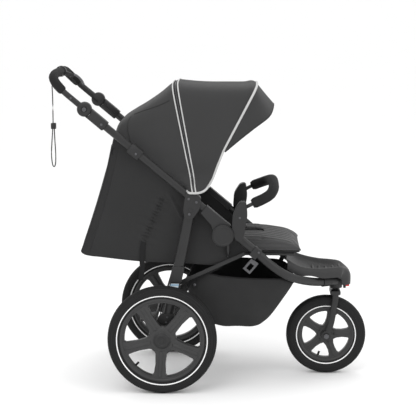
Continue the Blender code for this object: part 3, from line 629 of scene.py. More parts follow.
def tyre(name, hub, radius, ring, steps, body, node):
    """A treaded tyre with a pale ring on both side walls."""
    size = bpy.context.scene.stroller_wheels
    tread = size.tread_depth
    half = [
        (radius - 0.0434, 0.0), (radius - 0.0434, 0.0122), (radius - 0.0424, 0.0158),
        (radius - ring - size.ring_width, 0.0184), (radius - ring, 0.0198), (radius - 0.0225, 0.0224),
        (radius - 0.0130, 0.0216), (radius - 0.0072, 0.0184),
        (radius - 0.0042, 0.0124), (radius - tread - 0.0003, 0.0064), (radius - tread, 0.0),
    ]
    profile = half + [(r, -y) for r, y in half[-2:0:-1]]
    obj = turned(name, profile, hub, steps)
    obj.data.materials.append(tyre_rubber())
    obj.data.materials.append(reflective_band())
    for face in obj.data.polygons:
        out = face.center - hub
        distance = hypot(out.x, out.z)
        column = round(degrees(atan2(out.z, out.x)) % 360 / (360 / steps) - 0.5)
        row = int(abs(out.y) / 0.0064)
        face.select = distance > radius - 0.0062 and (column + row) % 2 == 0
        if radius - ring - size.ring_width < distance < radius - ring:
            face.material_index = 1
    only(obj)
    bpy.ops.object.mode_set(mode="EDIT")
    bpy.ops.mesh.extrude_faces_move(TRANSFORM_OT_shrink_fatten={"value": tread * 0.9})
    bpy.ops.object.mode_set(mode="OBJECT")
    return settle(obj, body, None, (node,), 32.0)


def spoke(name, hub, angle, low, high, width):
    """A flat spoke, wider where it meets the hub and where it meets the rim."""
    half = [
        (low, width * 1.45), (low + 0.012, width * 1.12), ((low + high) / 2, width), (high - 0.012, width * 1.20),
        (high, width * 1.75),
    ]
    turn_x, turn_z = cos(angle), sin(angle)
    outline = []
    for reach, side in half + [(reach, -side) for reach, side in half[::-1]]:
        outline.append((hub.x + reach * turn_x - side * turn_z, hub.z + reach * turn_z + side * turn_x))
    plate = slab(name, outline, 0.026, hub.y, 0.0030)
    length = high - low
    middle_of = low + length / 2
    ridge = block(
        name + "_ridge", (length, 0.0300, width * 0.80),
        hub + Vector((middle_of * turn_x, 0.0, middle_of * turn_z)), -angle, 0.0036, 3,
    )
    return [plate, ridge]


def rim(name, hub, radius, first, width, hub_radius, body, node):
    """A moulded wheel: a channel for the tyre, five spokes that widen at both ends, and a stepped hub."""
    seat = radius - 0.0442
    inner = seat - 0.0100
    ring = turned(name + "_ring", [
        (inner - 0.0080, -0.0095), (inner - 0.0065, -0.0125), (inner + 0.0030, -0.0132), (inner + 0.0030, 0.0132),
        (inner - 0.0065, 0.0125), (inner - 0.0080, 0.0095),
    ], hub, 96)
    channel = turned(name + "_channel", [
        (inner - 0.0005, -0.0150), (inner + 0.0040, -0.0172), (seat - 0.0008, -0.0158), (seat, -0.0128),
        (seat - 0.0030, -0.0060), (seat - 0.0030, 0.0060), (seat, 0.0128), (seat - 0.0008, 0.0158),
        (inner + 0.0040, 0.0172), (inner - 0.0005, 0.0150), (inner - 0.0020, 0.0080), (inner - 0.0020, -0.0080),
    ], hub, 96)
    boss = turned(name + "_boss", [
        (0.0072, -0.0180), (hub_radius * 0.78, -0.0180), (hub_radius * 0.84, -0.0168),
        (hub_radius * 0.90, -0.0140), (hub_radius * 1.30, -0.0122), (hub_radius * 1.45, -0.0080),
        (hub_radius * 1.45, 0.0080), (hub_radius * 1.30, 0.0122), (hub_radius * 0.90, 0.0140),
        (hub_radius * 0.84, 0.0168), (hub_radius * 0.78, 0.0180), (0.0072, 0.0180),
    ], hub, 48)
    pieces = [ring, channel, boss]
    for k in range(5):
        angle = radians(first + 72 * k)
        pieces += spoke(f"{name}_spoke_{k}", hub, angle, hub_radius * 1.15, inner - 0.0050, width)
    return settle(joined(name, pieces), body, wheel_plastic(), (node,), 35.0)


def valve(name, hub, radius, angle, body):
    """A short valve stem with its cap, between two spokes."""
    a = radians(angle)
    out = Vector((cos(a), 0.0, sin(a)))
    start, end = radius - 0.052, radius - 0.078
    stem = tube(name, [hub + out * (start - (start - end) * t) for t in (0.0, 0.45)], 0.0030)
    cap = tube(name + "_cap", [hub + out * (start - (start - end) * t) for t in (0.42, 0.6, 0.95, 1.0)], 0.0041)
    return settle(joined(name, [stem, cap]), body, tyre_rubber())


class STROLLER_OT_wheels(bpy.types.Operator):
    """Makes the tyres, the moulded wheels, the hub caps and the valves"""

    bl_idname = "stroller.wheels"
    bl_label = "Wheels"

    def execute(self, context):
        for side, sign in SIDES:
            hub = middle(f"rear_tyre_{side}")
            body = f"rear_wheel_{side}"
            tyre(f"tyre_rear_{side}", hub, REAR_RADIUS, 0.0325, 120, body, f"rear_tyre_{side}")
            rim(f"wheel_rear_{side}", hub, REAR_RADIUS, -94, 0.0185, 0.036, body, f"rear_rim_{side}")
            valve(f"valve_rear_{side}", hub, REAR_RADIUS, 225, body)
            cap_low, cap_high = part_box(f"hub_cap_{side}")
            face = cap_high[1] if sign > 0 else cap_low[1]
            seat = cap_low[1] if sign > 0 else cap_high[1]
            centre = Vector((hub.x, 0.0, hub.z))
            cap = turned(f"cap_rear_{side}", [
                (0.0, seat), (0.0285, seat), (0.0290, seat + sign * 0.0030), (0.0262, seat + sign * 0.0060),
                (0.0195, face - sign * 0.0006), (0.0165, face), (0.0150, face - sign * 0.0012),
                (0.0085, face - sign * 0.0014), (0.0075, face), (0.0, face),
            ], centre, 48, closed=False)
            settle(cap, body, moulded_black(), (f"hub_cap_{side}",), 35.0)
        tyre("tyre_front", FRONT_HUB, FRONT_RADIUS, 0.0372, 96, "front_wheel", "front_tyre")
        rim("wheel_front", FRONT_HUB, FRONT_RADIUS, 3, 0.0140, 0.0245, "front_wheel", "front_rim")
        valve("valve_front", FRONT_HUB, FRONT_RADIUS, 251, "front_wheel")
        return {"FINISHED"}


# ---------------------------------------------------------------- frame

def front_tube_path(sign):
    start = down_tube(0.6741, 0.0, sign * SIDE_Y)
    places = [
        (0.330, SIDE_Y, 0.523), (0.400, 0.226, 0.462), (0.452, 0.202, 0.424), (0.505, 0.158, 0.397),
        (0.562, 0.104, 0.378), (0.612, 0.058, 0.369), (0.634, 0.036, 0.367),
    ]
    return [start] + smooth_path([at(x, sign * y, z) for x, y, z in places], 6)


def leg_x(z):
    """How far forward of the rear axle the rear leg's middle is, at one height."""
    return 0.103 - 0.213 * (0.670 - z)


class STROLLER_OT_tubes(bpy.types.Operator):
    """Makes the upper tubes, the front tubes and the rear legs"""

    bl_idname = "stroller.tubes"
    bl_label = "Frame tubes"

    def execute(self, context):
        for side, sign in SIDES:
            y = sign * SIDE_Y
            upper = oval_tube(f"main_tube_{side}", [down_tube(0.052, 0, y), down_tube(0.672, 0, y)], 0.0135, 0.0115)
            settle(upper, "upper_frame", powder_black(), (f"upper_tube_{side}",))
            front = oval_tube(f"lower_tube_{side}", front_tube_path(sign), 0.0155, 0.0115)
            eye_profile = [(0.0, -0.010), (0.0215, -0.010), (0.0215, 0.010), (0.0, 0.010)]
            eye = turned(f"eye_{side}", eye_profile, at(0.220, y, 0.580), 40, closed=False)
            lower = joined(f"lower_tube_{side}", [front, eye])
            settle(lower, "front_frame", powder_black(), (f"front_tube_{side}",))
            top = at(0.103, y, 0.674)
            foot = at(0.103 - 0.213 * 0.435, y, 0.235)
            leg = oval_tube(f"leg_{side}", [top, foot], 0.0190, 0.0110)
            shoe_outline = rounded([
                (-0.026, 0.182), (-0.024, 0.262), (-0.006, 0.285), (0.044, 0.285), (0.034, 0.240), (0.026, 0.182),
            ], 0.012)
            shoe = slab(f"leg_shoe_{side}", [(x + AXLE, z) for x, z in shoe_outline], 0.026, y, 0.003)
            settle(leg, "rear_legs", powder_black(), (f"rear_leg_{side}",))
            settle(shoe, "rear_legs", moulded_black())
            for k, z in enumerate((0.252, 0.272)):
                rivet(f"shoe_rivet_{side}_{k}", at(0.012 + 0.004 * k, y + sign * 0.0128, z), 0.0042, sign, "rear_legs")
            collar_outline = rounded([(leg_x(z) + across, z) for across, z in (
                (-0.0225, 0.401), (-0.0225, 0.461), (0.0225, 0.461), (0.0225, 0.401),
            )], 0.006)
            collar = slab(f"leg_collar_{side}", [(x + AXLE, z) for x, z in collar_outline], 0.0275, y, 0.003)
            settle(collar, "rear_legs", moulded_black(), ())
            label_outline = rounded([(leg_x(z) + across, z) for across, z in (
                (-0.0150, 0.376), (-0.0150, 0.398), (0.0150, 0.398), (0.0150, 0.376),
            )], 0.002)
            label = slab(f"leg_sticker_{side}", [(x + AXLE, z) for x, z in label_outline], 0.0008, y + sign * 0.0113)
            settle(label, "rear_legs", sticker())
        settle(softened("rear_axle", 0.0008), "rear_legs", powder_black(), ("rear_axle",))
        for side, _ in SIDES:
            link = softened(f"fold_link_{side}", 0.0012)
            settle(link, "fold_links", powder_black(), (f"fold_link_{side}",))
        settle(softened("seat_frame", 0.001), "upper_frame", powder_black(), ("seat_frame",))
        return {"FINISHED"}


@once
def sticker():
    made = Finish("pale_sticker", (0.55, 0.68, 0.78), 0.4)
    rows = (made.axis(made.place(), "Z") * (2 * pi / 0.012)).sine() > 0.2
    tints = {0: rows, 6: (0.30, 0.46, 0.60, 1.0), 7: (0.62, 0.68, 0.72, 1.0)}
    pale = made.node("ShaderNodeMix", {"data_type": "RGBA"}, tints, 2)
    made.tree.links.new(pale.socket, made.shader.inputs["Base Color"])
    return made.material


class STROLLER_OT_mouldings(bpy.types.Operator):
    """Makes the fold hubs, the leg joints, the clips and the other moulded pieces on the frame"""

    bl_idname = "stroller.mouldings"
    bl_label = "Mouldings"

    def execute(self, context):
        for side, sign in SIDES:
            kinds = (("handle_hinge", 0.0022), ("canopy_clip", 0.0022), ("leg_joint", 0.0026), ("bumper_mount", 0.0026))
            for node, bevel in kinds:
                name = f"{node}_{side}"
                settle(softened(name, bevel), "upper_frame", moulded_black(), (name,), 32.0)
            name = f"fold_hub_{side}"
            settle(softened(name, 0.0016), "upper_frame", moulded_black(), (name,), 32.0)
            low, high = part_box(name)
            face = high[1] if sign > 0 else low[1]
            cover = turned(f"hub_cover_{side}", [
                (0.0, 0.0), (0.0335, 0.0), (0.0352, sign * 0.0006), (0.0345, sign * 0.0022), (0.0318, sign * 0.0030),
                (0.0300, sign * 0.0018), (0.0290, sign * 0.0018), (0.0, sign * 0.0030),
            ], Vector((at(0.220, 0, 0).x, face, 0.580)), 56, closed=False)
            settle(cover, "upper_frame", moulded_black(), (), 30.0)
            outer = sign * (SIDE_Y + 0.0182)
            for k, (x, z) in enumerate(((0.0965, 0.712), (0.1240, 0.700), (0.0985, 0.6560))):
                rivet(f"joint_rivet_{side}_{k}", at(x, outer, z), 0.0050, sign, "upper_frame")
            place = down_tube(0.244, 0.004, sign * (SIDE_Y + 0.0160))
            rivet(f"clip_rivet_{side}", place, 0.0046, sign, "upper_frame")
            rivet(f"hinge_screw_{side}", down_tube(0.082, 0.002, sign * (SIDE_Y + 0.0165)), 0.0048, sign, "upper_frame")
            rivet(f"mount_rivet_{side}", at(0.281, sign * (SIDE_Y + 0.0282), 0.645), 0.0044, sign, "upper_frame")
        for name in ("steering_head", "latch_clip"):
            settle(softened(name, 0.0016), "front_frame", moulded_black(), (name,), 32.0)
        settle(softened("fold_latch", 0.0014), "fold_latch", dark_steel(), ("fold_latch",), 32.0)
        rivet("latch_rivet", at(0.350, -SIDE_Y - 0.0160, 0.516), 0.0042, -1, "front_frame")
        return {"FINISHED"}


class STROLLER_OT_fork(bpy.types.Operator):
    """Makes the front fork, its axle and the swivel lock with its tab"""

    bl_idname = "stroller.fork"
    bl_label = "Front fork"

    def execute(self, context):
        steer = AXLE + 0.648
        arms = []
        for side, sign in SIDES:
            y = sign * 0.034
            path = smooth_path([
                (steer - 0.003, y, 0.322), (steer - 0.004, y, 0.290), (steer - 0.010, y, 0.255),
                (FRONT_HUB.x + 0.018, y, 0.205), (FRONT_HUB.x, y, FRONT_HUB.z - 0.010),
            ], 6)
            arms.append(oval_tube(f"fork_arm_{side}", path, 0.0125, 0.0060))
            lug = turned(f"fork_lug_{side}", [
                (0.0, -0.0063), (0.0175, -0.0063), (0.0190, -0.0050), (0.0190, 0.0050), (0.0175, 0.0063),
                (0.0, 0.0063),
            ], Vector((FRONT_HUB.x, y, FRONT_HUB.z)), 40, closed=False)
            arms.append(lug)
        crown = block("fork_crown", (0.040, 0.078, 0.018), (steer - 0.003, 0.0, 0.3195), 0.0, 0.0055, 4)
        neck = block("fork_neck", (0.024, 0.024, 0.014), (steer, 0.0, 0.3300), 0.0, 0.005, 3)
        fork = joined("front_fork", [crown, neck, *arms])
        settle(fork, "fork", powder_black(), ("fork",))
        settle(softened("front_axle", 0.0008), "fork", dark_steel(), ("front_axle",))
        lock = softened("swivel_lock", 0.0016)
        settle(lock, "swivel_lock", moulded_black(), ("swivel_lock",))
        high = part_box("swivel_lock")[1]
        place = (high[0] + 0.0060, 0.0, high[2] - 0.0100)
        tab = block("swivel_tab", (0.0140, 0.0170, 0.0075), place, 0.0, 0.0018)
        settle(tab, "swivel_lock", signal_red())
        return {"FINISHED"}


class STROLLER_OT_footrest(bpy.types.Operator):
    """Makes the moulded footrest with its ribs"""

    bl_idname = "stroller.footrest"
    bl_label = "Footrest"

    def execute(self, context):
        stations = (
            (0.458, 0.150, 0.468, 0.452, 0.434), (0.500, 0.140, 0.443, 0.421, 0.409),
            (0.545, 0.124, 0.431, 0.406, 0.405), (0.590, 0.106, 0.427, 0.399, 0.392),
            (0.630, 0.090, 0.427, 0.401, 0.391), (0.662, 0.074, 0.425, 0.411, 0.390),
        )
        nose = ((0.686, 0.058, 0.412, 0.385), (0.700, 0.042, 0.390, 0.374), (0.701, 0.034, 0.352, 0.352))
        rows = []
        for x, half, top, floor, skirt in stations:
            side = [
                (x, -half, skirt), (x, -half, (skirt + top) / 2 + 0.006), (x, -half + 0.012, top),
                (x, -half + 0.040, floor + 0.006),
            ]
            rows.append([at(*p) for p in side + [(x, 0.0, floor)] + [(px, -py, pz) for px, py, pz in side[::-1]]])
        for x, half, top, skirt in nose:
            side = [
                (x - 0.034, -half, skirt), (x - 0.016, -half * 0.95, (skirt + top) / 2),
                (x - 0.006, -half * 0.75, top), (x, -half * 0.35, top),
            ]
            rows.append([at(*p) for p in side + [(x, 0.0, top)] + [(px, -py, pz) for px, py, pz in side[::-1]]])
        rows = blended_rows(rows, 5)
        rows = [smooth_path(row, 4) for row in rows]
        tray = thicken(ring_of(rows, "footrest"), 0.0038)
        ribs = []
        places = ((0.560, 0.4050), (0.585, 0.4020), (0.610, 0.4030), (0.636, 0.4065), (0.660, 0.4130))
        for k, (x, z) in enumerate(places):
            ribs.append(block(f"rib_{k}", (0.0085, 0.116 - 0.012 * k, 0.0110), at(x, 0.0, z + 0.003), 0.0, 0.0030, 3))
        settle(joined("footrest", [tray, *ribs]), "front_frame", tray_plastic(), ("footrest_tray",), 42.0)
        return {"FINISHED"}


# ---------------------------------------------------------------- handle and bumper bar

def handle_path():
    half = [
        (-0.278, SIDE_Y, 1.034), (-0.318, 0.2290, 1.0670), (-0.352, 0.2270, 1.0960), (-0.380, 0.2150, 1.1240),
        (-0.394, 0.1850, 1.1430), (-0.397, 0.1300, 1.1520), (-0.397, 0.0600, 1.1540),
    ]
    half = [at(*p) for p in half]
    return smooth_path([Vector((p.x, -p.y, p.z)) for p in half] + half[::-1], 9)


def foam_sleeve(name, path, radius, ends=0.55):
    """A foam tube that narrows over its last few points."""
    obj = curve(name, path)
    obj.data.bevel_depth = radius
    obj.data.bevel_resolution = 7
    points = obj.data.splines[0].points
    for k, factor in enumerate((ends, 0.86, 0.97)):
        points[k].radius = factor
        points[-1 - k].radius = factor
    bpy.ops.object.convert(target="MESH")
    tidy_normals(obj)
    return obj


class STROLLER_OT_handle(bpy.types.Operator):
    """Makes the tilting handle with its foam, knobs and hand brake"""

    bl_idname = "stroller.handle"
    bl_label = "Handle"

    def execute(self, context):
        path = handle_path()
        bar = [tube("handle_tube", path, 0.0105)]
        for side, sign in SIDES:
            knob = turned(f"handle_knob_{side}", [
                (0.0, -0.0150), (0.0215, -0.0150), (0.0255, -0.0128), (0.0265, -0.0095), (0.0265, 0.0095),
                (0.0255, 0.0128), (0.0215, 0.0150), (0.0120, 0.0150), (0.0095, 0.0140), (0.0092, 0.0040), (0.0, 0.0040),
            ], Vector((KNOB.x, sign * SIDE_Y, KNOB.z)), 56, closed=False)
            if sign < 0:
                for vertex in knob.data.vertices:
                    vertex.co.y = 2 * sign * SIDE_Y - vertex.co.y
                tidy_normals(knob)
            bar.append(knob)
        settle(joined("handle_tube", bar), "handle", moulded_black(), ("handle_bar",), 32.0)
        grip = foam_sleeve("handle_foam", path[18:-18], 0.0170)
        settle(grip, "handle", closed_foam(), ("handle_grip",), 60.0)
        for side, sign in SIDES:
            name = f"handle_button_{side}"
            low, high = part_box(name)
            face = high[1] if sign > 0 else low[1]
            centre = middle(name)
            back = low[1] if sign > 0 else high[1]
            button = turned(f"tilt_button_{side}", [
                (0.0, back), (0.0082, back), (0.0084, face - sign * 0.0014), (0.0074, face),
                (0.0036, face - sign * 0.0004), (0.0030, face - sign * 0.0012), (0.0, face - sign * 0.0012),
            ], Vector((centre.x, 0.0, centre.z)), 32, closed=False)
            settle(button, name, dark_steel(), (name,), 35.0)
            pin_at = path[11] if sign < 0 else path[-12]
            rivet(f"grip_pin_{side}", Vector((pin_at.x, pin_at.y + sign * 0.0098, pin_at.z)), 0.0042, sign, "handle")
        settle(softened("lever_bracket", 0.0012), "handle", moulded_black(), ("lever_bracket",), 32.0)
        pivot = at(-0.352, 0.040, 1.142)
        lever_path = smooth_path([
            pivot, pivot + Vector((0.014, 0.0, -0.004)), pivot + Vector((0.034, -0.010, -0.022)),
            pivot + Vector((0.046, -0.040, -0.038)),
        ], 6)
        lever = foam_sleeve("brake_lever_blade", lever_path, 0.0041, 0.9)
        settle(lever, "brake_lever", dark_steel(), ("brake_lever",), 60.0)
        return {"FINISHED"}


class STROLLER_OT_cables(bpy.types.Operator):
    """Makes the brake cable, the short cables at the rear leg and the brake pedal"""

    bl_idname = "stroller.cables"
    bl_label = "Brake cables"

    def execute(self, context):
        route = smooth_path([
            at(-0.262, 0.2050, 1.0210), down_tube(0.10, -0.002, 0.2030), down_tube(0.30, 0.0, 0.2030),
            down_tube(0.47, 0.010, 0.2030),
        ], 8)
        housing = tube("brake_cable_housing", route, 0.0030, 4)
        settle(housing, "upper_frame", tyre_rubber(), ("brake_cable",), 60.0)
        grip = handle_path()
        run = [p + Vector((0.006, -0.0165 if p.y > 0.1 else 0.0, -0.0150)) for p in grip[-27:-2:3]]
        upper = smooth_path([at(-0.366, 0.052, 1.136), at(-0.368, 0.080, 1.130), at(-0.372, 0.130, 1.126), *run[2:]], 4)
        settle(tube("brake_cable_upper", upper, 0.0026, 4), "handle", tyre_rubber(), (), 60.0)
        for side, sign in SIDES:
            y = sign * (SIDE_Y - 0.018)
            low = smooth_path([
                at(0.030, y, 0.420), at(0.018, y, 0.380), at(0.004, y, 0.330), at(-0.010, y, 0.280),
                at(-0.014, y + sign * 0.004, 0.240), at(-0.006, y + sign * 0.004, 0.216),
            ], 5)
            housing = tube(f"brake_cable_low_{side}", low, 0.0022, 3)
            settle(housing, "rear_legs", tyre_rubber(), (), 60.0)
        settle(softened("brake_pedal", 0.0014), "brake_pedal", moulded_black(), ("brake_pedal",), 32.0)
        return {"FINISHED"}


class STROLLER_OT_wrist_strap(bpy.types.Operator):
    """Makes the wrist strap that hangs from the handle, with its slider"""

    bl_idname = "stroller.wrist_strap"
    bl_label = "Wrist strap"

    def execute(self, context):
        x = -0.4180
        down = [
            (x, -0.050, 1.1480), (x - 0.0020, -0.050, 1.1200), (x, -0.050, 1.0600), (x, -0.050, 0.9900),
            (x - 0.0005, -0.050, 0.9600),
        ]
        loop = [
            (x - 0.0030, -0.050, 0.9300), (x - 0.0060, -0.051, 0.8900), (x - 0.0080, -0.052, 0.8500),
            (x - 0.0050, -0.053, 0.8140),
            (x + 0.0010, -0.054, 0.8030), (x + 0.0070, -0.055, 0.8140), (x + 0.0085, -0.056, 0.8500),
            (x + 0.0070, -0.057, 0.8900), (x + 0.0055, -0.057, 0.9300), (x + 0.0050, -0.057, 0.9550),
        ]
        path = smooth_path([at(*p) for p in down + loop], 3)
        strap = curve("wrist_cord", path)
        strap.data.bevel_depth = 0.0020
        strap.data.bevel_resolution = 3
        strap.data.materials.append(webbing())
        length = sum((a - b).length for a, b in zip(path, path[1:]))
        slider = softened("strap_slider", 0.0020)
        settle(slider, "handle", moulded_black(), ("strap_slider",), 35.0)
        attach(strap, "handle")
        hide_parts("wrist_strap")
        return {"FINISHED"}


class STROLLER_OT_bumper(bpy.types.Operator):
    """Makes the bumper bar with its foam"""

    bl_idname = "stroller.bumper"
    bl_label = "Bumper bar"

    def execute(self, context):
        y = SIDE_Y - 0.0010
        half = [
            (0.302, y, 0.680), (0.330, y, 0.694), (0.368, 0.218, 0.710), (0.392, 0.190, 0.722),
            (0.404, 0.130, 0.732), (0.407, 0.060, 0.735),
        ]
        half = [at(*p) for p in half]
        path = smooth_path([Vector((p.x, -p.y, p.z)) for p in half] + half[::-1], 9)
        settle(tube("bumper_tube", path, 0.0068), "bumper", powder_black(), ("bumper_bar",))
        sleeve = foam_sleeve("bumper_sleeve", path[8:-8], 0.0195, 0.80)
        settle(sleeve, "bumper", closed_foam(), ("bumper_foam",), 60.0)
        return {"FINISHED"}


# ---------------------------------------------------------------- cloth

def path_length(path):
    return sum((a - b).length for a, b in zip(path, path[1:]))


def cut_size(rows):
    """The width, length and area that a sheet through these rows was cut to."""
    width = max(path_length(row) for row in rows)
    length = max(path_length([row[k] for row in rows]) for k in range(0, len(rows[0]), 6))
    area = 0.0
    for row, following in zip(rows, rows[1:]):
        for a, b, c, d in zip(row, row[1:], following[1:], following):
            area += 0.5 * (c - a).cross(d - b).length
    length = min(length, area / (0.32 * width))
    return width, max(length, area / width * 1.0005), area


def creased(rows, amount, scale, seed=0.0, border=5, extra=None):
    """The rows again, moved along the sheet's normal by soft noise that fades out at its edges."""
    moved = []
    last_row, last = len(rows) - 1, len(rows[0]) - 1
    for r, row in enumerate(rows):
        line = []
        for k, point in enumerate(row):
            along = row[min(k + 1, last)] - row[max(k - 1, 0)]
            across = rows[min(r + 1, last_row)][k] - rows[max(r - 1, 0)][k]
            normal = along.cross(across).normalized()
            mask = ease(min(r, last_row - r) / border) * ease(min(k, last - k) / border)
            place = Vector((point.x * scale[0], point.y * scale[1], point.z * scale[2] + seed))
            lift = amount * noise.noise(place)
            if extra:
                lift += extra(point)
            line.append(point + normal * lift * mask)
        moved.append(line)
    return moved


def panel(name, rows, thickness, finish, second=None, in_second=None):
    """A sheet of cloth through the rows, with a second finish where in_second(row, column) says so."""
    width, length, area = cut_size(rows)
    obj = ring_of(rows, name)
    obj.data.materials.append(finish)
    if second:
        obj.data.materials.append(second)
        across = len(rows[0]) - 1
        for index, face in enumerate(obj.data.polygons):
            face.material_index = 1 if in_second(index // across, index % across) else 0
    thicken(obj, thickness)
    only(obj)
    bpy.ops.object.shade_smooth_by_angle(angle=radians(50.0))
    return obj


def seam(name, sheet, places, radius, side, finish):
    """A ridge on the rear panel, through points given from the side as (x, z). It serves for sewn seams and, in dark
    cloth, for painted shade along the flap's edge and along the low edge above the tube.
    """
    path = []
    for place in smooth_path([(x, 0.0, z) for x, z in places], 8):
        start = Vector((place.x + AXLE, side * 0.6, place.z))
        hit, where, _, _ = sheet.ray_cast(start, Vector((0.0, -side, 0.0)))
        if hit:
            path.append(where + Vector((0.0, side * radius * 0.2, 0.0)))
    ridge = tube(name, path, radius, 2)
    apply_all(ridge)
    ridge.data.materials.clear()
    ridge.data.materials.append(finish)
    only(ridge)
    bpy.ops.object.shade_smooth_by_angle(angle=radians(60.0))
    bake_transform(ridge)
    return ridge


def strap(name, path, width, thickness, across=(0.0, 1.0, 0.0)):
    """A flat strap along a path."""
    across = Vector(across)
    rows = [[Vector(p) - across * width / 2, Vector(p) + across * width / 2] for p in path]
    return thicken(ring_of(rows, name), thickness)


FLARE = 0.0620


def flared(point, half):
    """How far out the canopy's side stands: its low tips pass outside the frame."""
    x, z = point.x - AXLE, point.z
    return half + FLARE * ease((x - 0.070) / 0.030) * ease((0.790 - z) / 0.050)


def hoop(low, top, half=0.190, bulge=0.0):
    """A hoop of the canopy from its low end over the crown, given by its low end and its top from the side."""
    low, top = at(low[0], 0.0, low[1]), at(top[0], 0.0, top[1])
    shares = (
        (0.0, 1.0), (0.06, 1.0), (0.14, 1.0), (0.30, 1.0), (0.50, 1.0), (0.70, 0.992), (0.84, 0.965),
        (0.92, 0.905), (0.965, 0.79), (0.990, 0.58), (0.998, 0.30), (1.0, 0.0),
    )
    side = []
    for share, width in shares:
        point = low + (top - low) * share
        point.y = -flared(point, half) * width if share < 0.7 else -half * width
        point.z += bulge * sin(pi * share)
        side.append(point)
    return side + [Vector((p.x, -p.y, p.z)) for p in side[-2::-1]]


def mirrored(side):
    """A path from one side to the middle, carried on to the other side."""
    return side + [Vector((p.x, -p.y, p.z)) for p in side[-2::-1]]


def brim():
    """The free edge of the visor."""
    places = (
        (0.226, 0.190, 0.876), (0.238, 0.190, 0.886), (0.252, 0.190, 0.898), (0.276, 0.189, 0.918),
        (0.306, 0.187, 0.942), (0.336, 0.181, 0.965), (0.362, 0.169, 0.983), (0.381, 0.148, 0.996),
        (0.393, 0.120, 1.008), (0.400, 0.086, 1.020), (0.404, 0.044, 1.032), (0.405, 0.0, 1.037),
    )
    return mirrored([at(x, -y, z) for x, y, z in places])


REAR_HOOPS = (
    ((-0.140, 0.905), (-0.184, 0.868)), ((-0.112, 0.881), (-0.180, 0.925)), ((-0.082, 0.856), (-0.163, 0.975)),
    ((-0.045, 0.826), (-0.118, 1.012)), ((0.000, 0.790), (-0.066, 1.046)), ((0.050, 0.756), (-0.016, 1.079)),
    ((0.092, 0.737), (0.025, 1.115)),
)
FIRST_PIPING = ((0.110, 0.735), (0.032, 1.118))
SECOND_PIPING = ((0.122, 0.735), (0.051, 1.124))
MIDDLE_HOOPS = (
    SECOND_PIPING, ((0.140, 0.738), (0.130, 1.117)), ((0.160, 0.750), (0.222, 1.114)),
    ((0.180, 0.780), (0.292, 1.114)), ((0.200, 0.832), (0.322, 1.118)), ((0.220, 0.882), (0.341, 1.112)),
)


def sheet_rows(hoops, rows_each, points_each):
    """A fine grid of points through the hoops."""
    return [smooth_path(row, points_each) for row in blended_rows(hoops, rows_each)]


def outward(path, distance):
    """The path again, moved away from the middle of the canopy."""
    centre = at(0.090, 0.0, 0.900)
    return [p + (p - centre).normalized() * distance for p in path]


